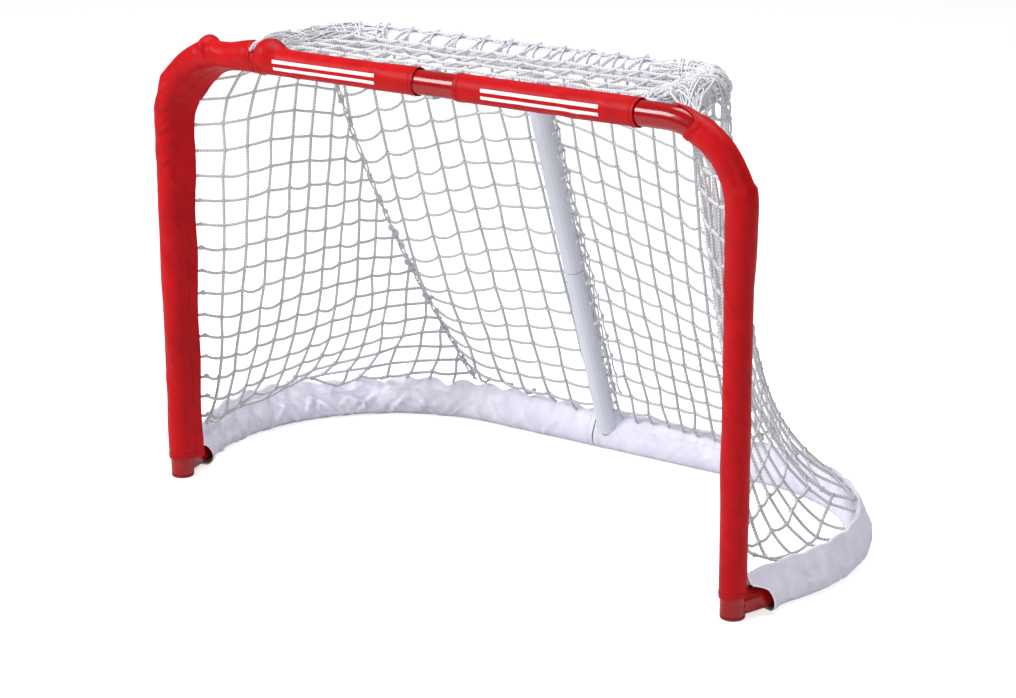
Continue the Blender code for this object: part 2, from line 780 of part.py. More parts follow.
def base_outline(angle):
    """A point on the net's lower edge, over the ridge of the skirt in the right rear corner."""
    height = SKIRT_HEIGHT + NET_GAP
    outward = (NET_OFFSET - (height - BASE_Z) * REAR_OUT.z) / REAR_OUT.y
    x = BASE_CENTRE_X + (BASE_RADIUS + outward) * math.cos(angle)
    y = BASE_CENTRE_Y + (BASE_RADIUS + outward) * math.sin(angle)
    return Vector((x, y, height))


def seam_point(share, shift=0.0):
    """The right rear corner of the net from bottom to top, moved rearward round it by a shift."""
    foot = base_outline(SEAM_FOOT_ANGLE)
    head = shelf_outline(SEAM_HEAD_ANGLE, NET_SLACK)
    angle = SEAM_FOOT_ANGLE + (SEAM_HEAD_ANGLE - SEAM_FOOT_ANGLE) * share
    along_edge = Vector((-math.sin(angle), math.cos(angle), 0))
    sag = Y_AXIS * (SEAM_SAG * math.sin(math.pi * share))
    return foot.lerp(head, share) - sag + along_edge * shift


def seam_line(shift=0.0):
    """The points of the right seam from bottom to top."""
    steps = 2 * SIDE_ROWS
    return [seam_point(k / steps, shift) for k in range(steps + 1)]


def side_edges():
    """The four edges of the right side net."""
    inset = (POST_SLEEVE_TIP + NET_GAP) / math.sqrt(2)
    edge_z = SKIRT_HEIGHT + NET_GAP
    y = POST_Y + inset
    post = [(POST_X - inset, y, edge_z), (POST_X - inset, y, CROSSBAR_Z - CORNER_RADIUS)]
    post += corner_points(0, math.pi / 2, CORNER_STEPS, CORNER_RADIUS - inset, y)[1:]
    seam = seam_line(-(LACING_CORD / 2 + NET_GAP))
    straight = BASE_STRAIGHT / math.cos(BASE_TOE_OUT)
    bottom = [Vector(post[0]), base_point(straight * 0.6, edge_z)]
    for k in range(BASE_STEPS):
        share = k / BASE_STEPS
        bottom.append(base_outline(-BASE_TOE_OUT + (SEAM_FOOT_ANGLE + BASE_TOE_OUT) * share))
    bottom.append(seam[0])
    arm_x = SHELF_HALF_WIDTH + NET_OFFSET + NET_SLACK
    top = [Vector(post[-1]), Vector((arm_x, POST_Y + SHELF_DEPTH * 0.35, SHELF_Z))]
    top += [shelf_outline(0.0, NET_SLACK), seam[-1]]
    return along(bottom), along(top), along(post), along(seam)


def rear_edges():
    """The lower and upper edges of the rear net, from its left seam to its right one."""
    shift = LACING_CORD / 2 + NET_GAP
    low = [seam_point(0, shift), base_outline(math.pi / 2)]
    high = [seam_point(1, shift)]
    steps = CORNER_STEPS // 2
    for k in range(1, steps + 1):
        angle = SEAM_HEAD_ANGLE + (math.pi / 2 - SEAM_HEAD_ANGLE) * k / steps
        high.append(shelf_outline(angle, NET_SLACK * min(1.0, 4 * (1 - k / steps))))
    edges = []
    for half in (low, high):
        left = [mirrored(p, -1) for p in half]
        edges.append(along(left + half[::-1]))
    return edges


def rear_surface():
    """The rear net: flat against the strut, and drawn forward towards its two seams."""
    low, high = rear_edges()
    shift = LACING_CORD / 2 + NET_GAP

    def surface(u, v):
        straight = seam_point(0, shift).lerp(seam_point(1, shift), v)
        drawn = (seam_point(v, shift) - straight) * (2 * u - 1) ** 2
        return low(u).lerp(high(u), v) + mirrored(drawn, math.copysign(1, u - 0.5))

    return surface


def top_surface(u, v):
    """The net that lies over the shelf, from behind the crossbar to the shelf's rear."""
    z = SHELF_Z + NET_OFFSET
    reach = SLEEVE_R + NET_GAP
    front = POST_Y + math.sqrt(reach**2 - (z - CROSSBAR_Z) ** 2)
    x = SHELF_HALF_WIDTH * (2 * u - 1)
    past = max(abs(x) - (SHELF_HALF_WIDTH - SHELF_CORNER_RADIUS), 0.0)
    round_off = SHELF_CORNER_RADIUS - math.sqrt(SHELF_CORNER_RADIUS**2 - past**2)
    return Vector((x, front + (SHELF_Y - round_off - front) * v, z))


def cord(name, points, diameter, finish):
    """A round cord through a row of points."""
    curve = bpy.data.curves.new(name, "CURVE")
    curve.dimensions = "3D"
    curve.bevel_depth = diameter / 2
    curve.bevel_resolution = 2
    curve.use_fill_caps = True
    spline = curve.splines.new("POLY")
    spline.points.add(len(points) - 1)
    for point, at in zip(spline.points, points):
        point.co = (*at, 1)
    obj = bpy.data.objects.new(name, curve)
    bpy.context.collection.objects.link(obj)
    curve.materials.append(finish)
    return obj


def strut_lacing_points():
    """The lacing down the strut's right side, which winds between the tube and the net."""
    start = SEAT + SKIRT_HEIGHT
    length = STRUT_LENGTH - SEAT - BACK_R - start
    turns = round(length / LACING_PITCH)
    steps = turns * 4
    beside = BACK_R + CLEARANCE + LACING_CORD / 2
    points = []
    for k in range(steps + 1):
        swing = (1 - math.cos(2 * math.pi * k / 4)) / 2
        angle = math.radians(40) * swing
        out = STRUT_ACROSS * math.cos(angle) + REAR_OUT * math.sin(angle)
        points.append(strut_point(start + length * k / steps) + out * beside)
    return points


def make_net(finish):
    """The four faces of the net and the cords that lace it."""
    side = side_patch(*side_edges())
    cord_finish = finish["net_cord"]
    made = {
        "rear_net": netting("rear_net", rear_surface(), REAR_COLUMNS, REAR_ROWS, cord_finish),
        "top_net": netting("top_net", top_surface, TOP_COLUMNS, TOP_ROWS, cord_finish),
    }
    for way, word in ((-1, "left"), (1, "right")):
        name = f"{word}_side_net"
        made[name] = netting(name, side, SIDE_COLUMNS, SIDE_ROWS, cord_finish, way)
        name = f"{word}_corner_lacing"
        points = [mirrored(p, way) for p in seam_line()]
        made[name] = cord(name, points, LACING_CORD, cord_finish)
    made["strut_lacing"] = cord("strut_lacing", strut_lacing_points(), LACING_CORD, cord_finish)
    return made


def clear_scene():
    """Removes what the file opened with."""
    for obj in list(bpy.data.objects):
        bpy.data.objects.remove(obj, do_unlink=True)


def gather(parts):
    """Hangs every piece on one empty at the goal's origin, without moving it."""
    root = bpy.data.objects.new("hockey_goal", None)
    bpy.context.collection.objects.link(root)
    for obj in parts.values():
        obj.parent = root


def main():
    """Builds the whole goal."""
    clear_scene()
    finish = make_materials()
    parts = {}
    parts |= make_front_frame(finish)
    parts |= make_sockets(finish)
    parts |= make_base(finish)
    parts |= make_shelf(finish)
    parts |= make_strut(finish)
    parts |= make_spigots(finish)
    parts |= make_buttons(parts, finish)
    parts |= make_sleeves(finish)
    parts |= make_skirts(finish)
    parts |= make_net(finish)
    gather(parts)


main()
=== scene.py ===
"""Looks of a small hockey goal: painted steel frame, red sleeves, white skirts and a knotted net.

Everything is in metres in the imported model's frame: X runs along the crossbar, the mouth faces -Y, Z is up.
"""

import logging
import math
from dataclasses import dataclass
from enum import Enum
from math import cos, pi, radians, sin
from typing import Any, Callable, Optional, Sequence

import bmesh
import bpy
import numpy as np
from mathutils import Matrix, Vector


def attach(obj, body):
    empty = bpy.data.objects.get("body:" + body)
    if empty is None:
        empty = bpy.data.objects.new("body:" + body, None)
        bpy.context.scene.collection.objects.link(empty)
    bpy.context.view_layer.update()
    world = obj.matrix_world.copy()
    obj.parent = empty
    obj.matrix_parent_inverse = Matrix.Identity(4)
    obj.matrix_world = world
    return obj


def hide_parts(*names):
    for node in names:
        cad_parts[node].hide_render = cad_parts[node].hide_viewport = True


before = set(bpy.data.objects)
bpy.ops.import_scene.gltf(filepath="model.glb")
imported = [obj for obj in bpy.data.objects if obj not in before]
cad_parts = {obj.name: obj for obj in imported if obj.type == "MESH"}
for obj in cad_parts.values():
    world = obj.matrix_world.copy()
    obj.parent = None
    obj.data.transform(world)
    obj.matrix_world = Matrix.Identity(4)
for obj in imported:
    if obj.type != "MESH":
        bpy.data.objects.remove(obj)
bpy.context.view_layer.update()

log = logging.getLogger("hockey_goal")
BODY = "goal"

Array = np.ndarray
Piece = bpy.types.Object
Add = Callable[..., Any]
Surface = Callable[[Array, Array], Array]
Cord = tuple[Array, Sequence[bool]]

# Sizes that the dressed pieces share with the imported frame
FRONT_WIDTH = 0.91
HEIGHT = 0.61
DEPTH = 0.46
CLEARANCE = 0.0003
FRONT_R = 0.0155
BACK_R = 0.0143
SLEEVE_R = FRONT_R + CLEARANCE + 0.0012
SKIRT_R = BACK_R + CLEARANCE + 0.0010 + CLEARANCE + 0.0012
TWINE = 0.003
TWINE_DRAWN = 0.0041
NET_GAP = CLEARANCE + TWINE / 2
NET_OFFSET = BACK_R + NET_GAP
CORNER_RADIUS = 0.100
POST_X = FRONT_WIDTH / 2 - SLEEVE_R
POST_Y = -DEPTH / 2 + SLEEVE_R
CROSSBAR_Z = HEIGHT - SLEEVE_R
CROSSBAR_SEAM_X = -0.018
BASE_Y = DEPTH / 2 - SKIRT_R
BASE_Z = SKIRT_R
SHELF_DEPTH = 0.205
SHELF_Y = POST_Y + SHELF_DEPTH
SHELF_Z = HEIGHT - max(SLEEVE_R, BACK_R + CLEARANCE + TWINE)
SHELF_HALF_WIDTH = 0.300
SHELF_CORNER_RADIUS = 0.060
TOE_OUT = radians(17)
BASE_STRAIGHT = 0.095
BEND_Y = POST_Y + BASE_STRAIGHT
BEND_X = POST_X + BASE_STRAIGHT * math.tan(TOE_OUT)
BASE_RADIUS = (BASE_Y - BEND_Y) / (1 + sin(TOE_OUT))
BASE_CENTRE_X = BEND_X - BASE_RADIUS * cos(TOE_OUT)
BASE_CENTRE_Y = BEND_Y + BASE_RADIUS * sin(TOE_OUT)
SKIRT_HEIGHT = 0.058
POST_SLEEVE_TIP = 0.036
CROSSBAR_SLEEVE_TIP = 0.022
TAIL_INSET = (POST_SLEEVE_TIP + NET_GAP) / math.sqrt(2)
SEAM_FOOT_ANGLE = radians(83)
SEAM_HEAD_ANGLE = radians(18)
SEAM_SAG = 0.030
NET_SLACK = 0.005
NET_SAG = 0.020
NET_FLARE = 0.080
X_AXIS, Y_AXIS, Z_AXIS = np.eye(3)
STRUT_FOOT = np.array([-0.020, BASE_Y, BASE_Z])
STRUT_HEAD = np.array([0.0, SHELF_Y, SHELF_Z])
STRUT_UP = (STRUT_HEAD - STRUT_FOOT) / np.linalg.norm(STRUT_HEAD - STRUT_FOOT)
REAR_OUT = np.array([0.0, SHELF_Z - BASE_Z, BASE_Y - SHELF_Y])
REAR_OUT = REAR_OUT / np.linalg.norm(REAR_OUT)
STRUT_ACROSS = np.cross(REAR_OUT, STRUT_UP)


class Side(Enum):
    """Which half of the goal a piece is on."""

    LEFT = -1
    RIGHT = 1

    @property
    def word(self) -> str:
        """The side's word in node names."""
        return self.name.lower()

    @property
    def flip(self) -> Array:
        """What turns a place on the right half into this side's."""
        return np.array([self.value, 1.0, 1.0])


# Colours and nodes


def linear(code: str) -> tuple[float, ...]:
    """Turns an sRGB hex colour, #RRGGBB, into Blender's linear one with alpha 1."""
    parts = [int(code[k : k + 2], 16) / 255 for k in (1, 3, 5)]
    return (*(c / 12.92 if c <= 0.04045 else ((c + 0.055) / 1.055) ** 2.4 for c in parts), 1.0)


def adder(tree: bpy.types.NodeTree) -> Add:
    """Clears a tree and gives the one function that adds a node to it, with its settings and links.

    Args:
        tree: the shader or geometry tree.

    Returns:
        The function. An input takes a value, a socket, a node for its first output, or a list of these.
    """
    prefix = "GeometryNode" if tree.type == "GEOMETRY" else "ShaderNode"
    tree.nodes.clear()

    def add(kind: str, own: Optional[dict[Any, Any]] = None, **named: Any) -> Any:
        """Adds one node.

        Args:
            kind: the node's type, without the tree's own prefix.
            own: its properties by name and its inputs by number.
            named: its inputs by name, with _ for a space.

        Returns:
            The node.
        """
        node = tree.nodes.new(kind if "Node" in kind else prefix + kind)
        inputs = {word.replace("_", " "): value for word, value in named.items()}
        for key, value in (own or {}).items():
            if isinstance(key, str):
                setattr(node, key, value)
            else:
                inputs[key] = value
        for key, value in inputs.items():
            for one in value if isinstance(value, list) else [value]:
                one = one.outputs[0] if isinstance(one, bpy.types.Node) else one
                if isinstance(one, bpy.types.NodeSocket):
                    tree.links.new(one, node.inputs[key])
                else:
                    node.inputs[key].default_value = one
        return node

    return add


@dataclass(frozen=True)
class Finish:
    """A surface finish: a named material that is made once.

    Args:
        name: the material's name, the common name of the real one.
        slot: the record's material slot that it belongs to.
        colour: its colour, #RRGGBB.
        shade: the colour that it turns to here and there, where it has one.
    """

    name: str
    slot: str
    colour: str = "#FFFFFF"
    shade: str = "#FFFFFF"

    def material(self) -> bpy.types.Material:
        """The material, made at the first call.

        Returns:
            The material.
        """
        made = bpy.data.materials.get(self.name)
        if made is None:
            made = bpy.data.materials.new(self.name)
            made.use_nodes = True
            add = adder(made.node_tree)
            add("OutputMaterial", Surface=add("BsdfPrincipled", **self.dress(add)))
        return made

    def dress(self, add: Add) -> dict[str, Any]:
        """What feeds each of the shader's inputs; each kind of finish has its own."""
        raise NotImplementedError

    @property
    def tones(self) -> dict[Any, Any]:
        """The settings of a mix from its colour to its shade."""
        return {"data_type": "RGBA", 6: linear(self.colour), 7: linear(self.shade)}


@dataclass(frozen=True)
class PowderCoat(Finish):
    """Powder-coated steel tube: an even glossy coat with faint orange peel that ripples the highlight."""

    colour: str = "#A8050D"
    shade: str = "#94030A"
    roughness: float = 0.16
    coat: float = 0.45

    def dress(self, add: Add) -> dict[str, Any]:
        """Orange peel as a 3 mm noise in the bump, cloudy tone at 60 mm, fine scuffs in the gloss.

        Args:
            add: adds a node.

        Returns:
            The shader's inputs.
        """
        where = add("TexCoord").outputs["Object"]
        cloud = add("TexNoise", Vector=where, Scale=16.0, Detail=2.0)
        scuff = add("TexNoise", Vector=where, Scale=140.0, Detail=5.0)
        peel = add("TexNoise", Vector=where, Scale=330.0, Detail=1.0)
        gloss = {"From_Min": 0.35, "From_Max": 0.75, "To_Min": self.roughness}
        return {
            "Base Color": add("Mix", self.tones | {0: cloud}).outputs[2],
            "Roughness": add("MapRange", Value=scuff, **gloss, To_Max=self.roughness + 0.12),
            "Normal": add("Bump", Strength=0.10, Distance=0.0004, Height=peel),
            "IOR": 1.5,
            "Specular IOR Level": 0.22,
            "Coat Weight": self.coat,
            "Coat Roughness": 0.05,
        }


@dataclass(frozen=True)
class MouldedCap(Finish):
    """Moulded polyethylene foot cap: a duller red with a fine spark-eroded grain."""

    colour: str = "#9C080F"
    shade: str = "#80060C"

    def dress(self, add: Add) -> dict[str, Any]:
        """Grain at 1 mm, drawn coarser than the real 0.2 mm so that it shows, and a worn tone at 11 mm.

        Args:
            add: adds a node.

        Returns:
            The shader's inputs.
        """
        where = add("TexCoord").outputs["Object"]
        grain = add("TexNoise", Vector=where, Scale=900.0, Detail=2.0)
        worn = add("TexNoise", Vector=where, Scale=90.0, Detail=4.0)
        return {
            "Base Color": add("Mix", self.tones | {0: worn}).outputs[2],
            "Normal": add("Bump", Strength=0.25, Distance=0.0003, Height=grain),
            "Roughness": 0.48,
            "IOR": 1.5,
        }


@dataclass(frozen=True)
class CoatedCloth(Finish):
    """PU-coated polyester cloth: a plain weave under a thin film, soft broad sheen, with painted shade in its
    creases.

    The weave is 0.9 mm where the real one is about 0.4 mm, so that it shows in the picture.
    """

    colour: str = "#C60B14"
    shade: str = "#AC0810"
    roughness: float = 0.46
    weave: float = 0.0009
    crumple: float = 0.22

    def dress(self, add: Add) -> dict[str, Any]:
        """Weave from the cloth's own UV map in metres; crumples and tone, with painted shade in the creases,
        from Object coordinates.

        Args:
            add: adds a node.

        Returns:
            The shader's inputs.
        """
        cloth, where = add("UVMap", {"uv_map": "cloth"}), add("TexCoord").outputs["Object"]
        thread = {"Vector": cloth, "Scale": 2 * pi / self.weave / 20, "Distortion": 0.6, "Detail Scale": 0.5}
        warp, weft = (add("TexWave", {"bands_direction": way}, **thread).outputs["Fac"] for way in "XY")
        threads = add("Math", {"operation": "MAXIMUM", 0: warp, 1: weft})
        creases = add("TexNoise", Vector=where, Scale=55.0, Detail=4.0, Roughness=0.55, Distortion=0.4)
        low = add("TexNoise", Vector=where, Scale=9.0, Detail=2.0)
        # Painted shade: the colour turns to the shade colour where the crease noise, which also sets the
        # bump, is low, and in broad random patches
        crease_shade_and_mottle = add("Math", {"operation": "MULTIPLY", 0: low, 1: creases})
        spread = add("MapRange", Value=crease_shade_and_mottle, From_Min=0.12, From_Max=0.42)
        tone = add("Mix", {"data_type": "RGBA", 0: spread, 6: linear(self.shade), 7: linear(self.colour)})
        soft = add("Bump", Strength=self.crumple, Distance=0.003, Height=creases)
        return {
            "Base Color": tone.outputs[2],
            "Normal": add("Bump", Strength=0.18, Distance=0.0002, Height=threads, Normal=soft),
            "Roughness": self.roughness,
            "Specular IOR Level": 0.16,
            "IOR": 1.46,
        }


@dataclass(frozen=True)
class PrintedCloth(CoatedCloth):
    """The same cloth with two plain stripes of white screen-printing ink, flat and a little glossier.

    Args:
        first, last: the stripes' ends, in metres along the cloth.
        centre: the line between them, in metres round the cloth.
        gap: how far each stripe's middle is from that line.
        half: half a stripe's width.
    """

    first: float = 0.02
    last: float = 0.20
    centre: float = 0.06
    gap: float = 0.0046
    half: float = 0.0022

    def dress(self, add: Add) -> dict[str, Any]:
        """Marks the stripes by the cloth's own UV map and mixes the ink over the cloth's colour.

        Args:
            add: adds a node.

        Returns:
            The shader's inputs.
        """
        under = super().dress(add)
        axes = add("SeparateXYZ", {0: add("UVMap", {"uv_map": "cloth"})}).outputs
        middle, reach = (self.first + self.last) / 2, (self.last - self.first) / 2
        off = add("Math", {"operation": "SUBTRACT", 0: axes[1], 1: self.centre})
        aside = add("Math", {"operation": "ABSOLUTE", 0: off})
        across = add("Math", {"operation": "COMPARE", 0: aside, 1: self.gap, 2: self.half})
        along = add("Math", {"operation": "COMPARE", 0: axes[0], 1: middle, 2: reach})
        ink = add("Math", {"operation": "MULTIPLY", 0: across, 1: along})
        tone = add("Mix", {"data_type": "RGBA", 0: ink, 6: under["Base Color"], 7: linear("#F0F0F2")})
        gloss = add("MapRange", Value=ink, To_Min=self.roughness, To_Max=0.38)
        return under | {"Base Color": tone.outputs[2], "Roughness": gloss}


@dataclass(frozen=True)
class BraidedTwine(Finish):
    """Braided polyester twine: two crossing spirals of filaments, matt, greyer where it is handled, with
    painted shade between the crossings and towards the floor.
    """

    colour: str = "#EDEEF1"
    shade: str = "#9C9EA4"
    pitch: float = 0.004

    def dress(self, add: Add) -> dict[str, Any]:
        """Two opposite spirals from the cord's own run and turn attributes give the braid's crossings, with
        painted shade in the grooves between them.

        Args:
            add: adds a node.

        Returns:
            The shader's inputs.
        """
        run = add("Attribute", {"attribute_name": "run"}).outputs["Fac"]
        turn = add("SeparateXYZ", {0: add("Attribute", {"attribute_name": "turn"}).outputs["Vector"]}).outputs
        angle = add("Math", {"operation": "ARCTAN2", 0: turn[1], 1: turn[0]})
        along = add("Math", {"operation": "MULTIPLY", 0: run, 1: 2 * pi / self.pitch})
        one, two = (
            add("Math", {"operation": "SINE", 0: add("Math", {"operation": way, 0: along, 1: angle})})
            for way in ("ADD", "SUBTRACT")
        )
        braid = add("Math", {"operation": "MAXIMUM", 0: one, 1: two})
        where = add("TexCoord").outputs["Object"]
        soil = add("TexNoise", Vector=where, Scale=30.0, Detail=3.0)
        # Painted shade: greyer in the grooves between the crossings, where the bump is low
        grey = add("MapRange", Value=braid, From_Min=-0.5, From_Max=1.0, To_Min=0.45, To_Max=0.0)
        height = add("SeparateXYZ", {0: where}).outputs[2]
        # Painted shade: greyer towards the floor
        low = add("MapRange", Value=height, From_Min=0.08, From_Max=0.46, To_Min=0.26, To_Max=0.0)
        # Painted shade, not wear: the grooves' shade and the shade towards the floor together; the soil noise
        # adds random dirt
        worn = add("Math", {"operation": "ADD", 0: grey, 1: low})
        both = add("Math", {"operation": "MULTIPLY_ADD", "use_clamp": True, 0: soil, 1: 0.4, 2: worn})
        return {
            "Base Color": add("Mix", self.tones | {0: both}).outputs[2],
            "Normal": add("Bump", Strength=0.5, Distance=0.0004, Height=braid),
            "Roughness": 0.8,
            "Sheen Weight": 0.1,
            "IOR": 1.5,
        }


@dataclass(frozen=True)
class PlatedSteel(Finish):
    """Zinc-plated or spring steel: a grey mottled metal whose fine pits blur what it mirrors."""

    colour: str = "#B9BCC0"
    shade: str = "#8E9296"
    roughness: float = 0.34

    def dress(self, add: Add) -> dict[str, Any]:
        """Spangle-like tone at 5 mm and pits at 1.5 mm in the roughness.

        Args:
            add: adds a node.

        Returns:
            The shader's inputs.
        """
        where = add("TexCoord").outputs["Object"]
        pits = add("TexNoise", Vector=where, Scale=700.0, Detail=3.0)
        spangle = add("TexVoronoi", Vector=where, Scale=220.0).outputs["Distance"]
        smooth, dull = self.roughness - 0.08, self.roughness + 0.14
        return {
            "Base Color": add("Mix", self.tones | {0: spangle}).outputs[2],
            "Roughness": add("MapRange", Value=pits, To_Min=smooth, To_Max=dull),
            "Metallic": 1.0,
        }


@dataclass(frozen=True)
class SewingThread(Finish):
    """Twisted polyester sewing thread: soft short stitches a little glossier than the cloth."""

    colour: str = "#E8E8EE"

    def dress(self, add: Add) -> dict[str, Any]:
        """A slight change of tone from stitch to stitch.

        Args:
            add: adds a node.

        Returns:
            The shader's inputs.
        """
        mottle = add("TexNoise", Vector=add("TexCoord").outputs["Object"], Scale=400.0)
        shift = add("MapRange", Value=mottle, To_Min=-0.06, To_Max=0.04)
        tone = add("BrightContrast", Color=linear(self.colour), Bright=shift, Contrast=0.0)
        return {"Base Color": tone, "Roughness": 0.5}


RED_STEEL = PowderCoat("powder_coated_steel_red", "red_paint")
WHITE_STEEL = PowderCoat("powder_coated_steel_white", "white_paint", "#E6E8F0", "#D9DBE6", 0.3, 0.2)
GREY_STEEL = PowderCoat("powder_coated_steel_pale_grey", "grey_paint", "#DDE1EA", "#D0D5E0", 0.34, 0.15)
RED_CAP = MouldedCap("moulded_polyethylene_red", "red_cap")
# Each cloth's second colour is its painted crease shade and its random mottle
RED_CLOTH = CoatedCloth("coated_polyester_cloth_red", "red_fabric")
WHITE_CLOTH = CoatedCloth("coated_polyester_cloth_white", "white_fabric", "#ECEBF6", "#D6D4E6", 0.6)
# Each twine's second colour is what its painted shade and its soil turn it to
NET_TWINE = BraidedTwine("braided_polyester_twine", "net_cord")
LACE = BraidedTwine("braided_polyester_lace", "net_cord", "#E6E6EA", "#B2B3BA", 0.005)
# Painted light: a lighter copy of the net's twine, with less painted shade, for the gathered netting
SPARE_TWINE = BraidedTwine("braided_polyester_twine_lit_copy", "net_cord", "#EDEEF1", "#C0C2C8")
PLATED = PlatedSteel("zinc_plated_steel", "plated_steel")
SPRING = PlatedSteel("blued_spring_steel", "spring_steel", "#8C9096", roughness=0.28)
# How far round the cloth, from its closing edge, the crossbar's front lies
FRONT_OF_LEFT = SLEEVE_R * (pi * 1.25 + 0.02)
FRONT_OF_RIGHT = SLEEVE_R * (pi * 0.75 - 0.02)
LEFT_PRINT = PrintedCloth(
    "printed_polyester_cloth_left", "red_fabric", first=0.034, last=0.196, centre=FRONT_OF_LEFT
)
RIGHT_PRINT = PrintedCloth(
    "printed_polyester_cloth_right", "red_fabric", first=0.048, last=0.217, centre=FRONT_OF_RIGHT
)
WHITE_BINDING = SewingThread("woven_polyester_binding_white", "white_fabric", "#F4F4F8")
WHITE_THREAD = SewingThread("polyester_sewing_thread_white", "white_fabric")
RED_THREAD = SewingThread("polyester_sewing_thread_red", "red_fabric", "#B00A14")


# Meshes and paths


def unit(vectors: Array) -> Array:
    """The vectors, each with a length of one."""
    return vectors / np.maximum(np.linalg.norm(vectors, axis=-1, keepdims=True), 1e-9)


def turned(angle: Array) -> Array:
    """The same turns between minus half a turn and half a turn."""
    return np.remainder(angle + pi, 2 * pi) - pi


def bell(off: Array, width: float, power: int = 2) -> Array:
    """One at no distance, and less the further off."""
    return np.exp(-((off / width) ** power))


def above_floor(points: Array, least: float) -> Array:
    """The points, lifted to a least height."""
    return np.concatenate([points[..., :2], np.maximum(points[..., 2:], least)], axis=-1)


def arc(
    x: float, y: float, radius: float, first: float, last: float, steps: int
) -> list[tuple[float, float]]:
    """Points of an arc round a centre, from one turn to another."""
    turns = [first + (last - first) * k / steps for k in range(steps + 1)]
    return [(x + radius * cos(turn), y + radius * sin(turn)) for turn in turns]


def mesh_from(name: str, points: Any, faces: Sequence[Any], edges: Sequence[Any] = ()) -> bpy.types.Mesh:
    """A smooth mesh from points and faces, or edges alone.

    Args:
        name: its name.
        points: its points.
        faces: the points of each face.
        edges: the ends of each loose edge.

    Returns:
        The mesh.
    """
    mesh = bpy.data.meshes.new(name)
    mesh.from_pydata([tuple(map(float, p)) for p in points], edges, faces)
    mesh.update()
    if faces:
        mesh.polygons.foreach_set("use_smooth", [True] * len(mesh.polygons))
    return mesh


def linked(name: str, data: Any) -> Piece:
    """Links data to the scene as an object at the origin.

    Args:
        name: its name.
        data: a mesh, lamp or camera.

    Returns:
        The object.
    """
    made = bpy.data.objects.new(name, data)
    bpy.context.scene.collection.objects.link(made)
    return made


def evaluated(piece: Piece) -> bpy.types.Mesh:
    """A plain mesh of what an object's modifiers make.

    Args:
        piece: the object.

    Returns:
        The mesh.
    """
    graph = bpy.context.evaluated_depsgraph_get()
    return bpy.data.meshes.new_from_object(
        piece.evaluated_get(graph), preserve_all_data_layers=True, depsgraph=graph
    )


def new_piece(name: str, mesh: bpy.types.Mesh, finish: Finish) -> Piece:
    """Links a mesh as a piece with one finish.

    Args:
        name: its name.
        mesh: its mesh.
        finish: what it is made of.

    Returns:
        The piece.
    """
    piece = linked(name, mesh)
    if not mesh.materials:
        mesh.materials.append(finish.material())
    return piece


@dataclass
class Line:
    """A line through points.

    Args:
        points: the points, one in each row.
    """

    points: Array

    def __post_init__(self) -> None:
        """Works out how far along the line each point is."""
        steps = np.linalg.norm(np.diff(self.points, axis=0), axis=1)
        self.runs = np.concatenate([[0.0], np.cumsum(steps)])
        self.length = float(self.runs[-1])

    def on(self, run: Array) -> Array:
        """The points at these runs along the line, or at its ends."""
        return np.stack([np.interp(run, self.runs, self.points[:, k]) for k in range(3)], -1)

    def share(self, part: Array) -> Array:
        """The points at these shares of its length."""
        return self.on(part * self.length)


@dataclass
class Route(Line):
    """A line that tubes and covers follow.

    Args:
        flat: one direction that stays across it.
    """

    flat: Array

    def at(self, run: Array) -> Array:
        """The points at these runs along the line, carried straight on past its ends."""
        inside = np.clip(run, 0, self.length)
        return self.on(inside) + self.way(run) * (run - inside)[..., None]

    def way(self, run: Array) -> Array:
        """The direction of the line at these runs."""
        run, step = np.clip(run, 0, self.length), 0.004
        return unit(self.on(run + step) - self.on(run - step))

    def around(self, run: Array, angle: Array, reach: Array) -> Array:
        """Points round the line.

        Args:
            run: how far along.
            angle: the turn from the flat direction.
            reach: the distance from the line.

        Returns:
            The points.
        """
        across = unit(np.cross(self.way(run), np.broadcast_to(self.flat, run.shape + (3,))))
        out = self.flat * np.cos(angle)[..., None] + across * np.sin(angle)[..., None]
        return self.at(run) + out * np.asarray(reach)[..., None]


def front_route(side: Side, end_x: float, start_z: float) -> Route:
    """The front tube's line from the post's foot, round the corner to the crossbar.

    Args:
        side: which post.
        end_x: where it ends on the crossbar, as on the right side.
        start_z: the height where it starts.

    Returns:
        The route, flat towards +Y.
    """
    corner = arc(POST_X - CORNER_RADIUS, CROSSBAR_Z - CORNER_RADIUS, CORNER_RADIUS, 0, pi / 2, 24)
    line = [(POST_X, start_z), *corner, (end_x, CROSSBAR_Z)]
    return Route(np.array([(x, POST_Y, z) for x, z in line]) * side.flip, Y_AXIS)


def base_route(side: Side, start: float, end_x: float) -> Route:
    """The base line from near a post, round the rear corner to the middle of the rear.

    Args:
        side: which half.
        start: how far from the post's axis it starts.
        end_x: where it ends on the rear, as it lies.

    Returns:
        The route, flat towards +Z.
    """
    line = [(POST_X + run * sin(TOE_OUT), POST_Y + run * cos(TOE_OUT)) for run in (start, start + 0.01, 0.09)]
    line += arc(BASE_CENTRE_X, BASE_CENTRE_Y, BASE_RADIUS, -TOE_OUT, pi / 2, 40)
    return Route(np.array([(x * side.value, y, BASE_Z) for x, y in line] + [(end_x, BASE_Y, BASE_Z)]), Z_AXIS)


# Stitches and twine


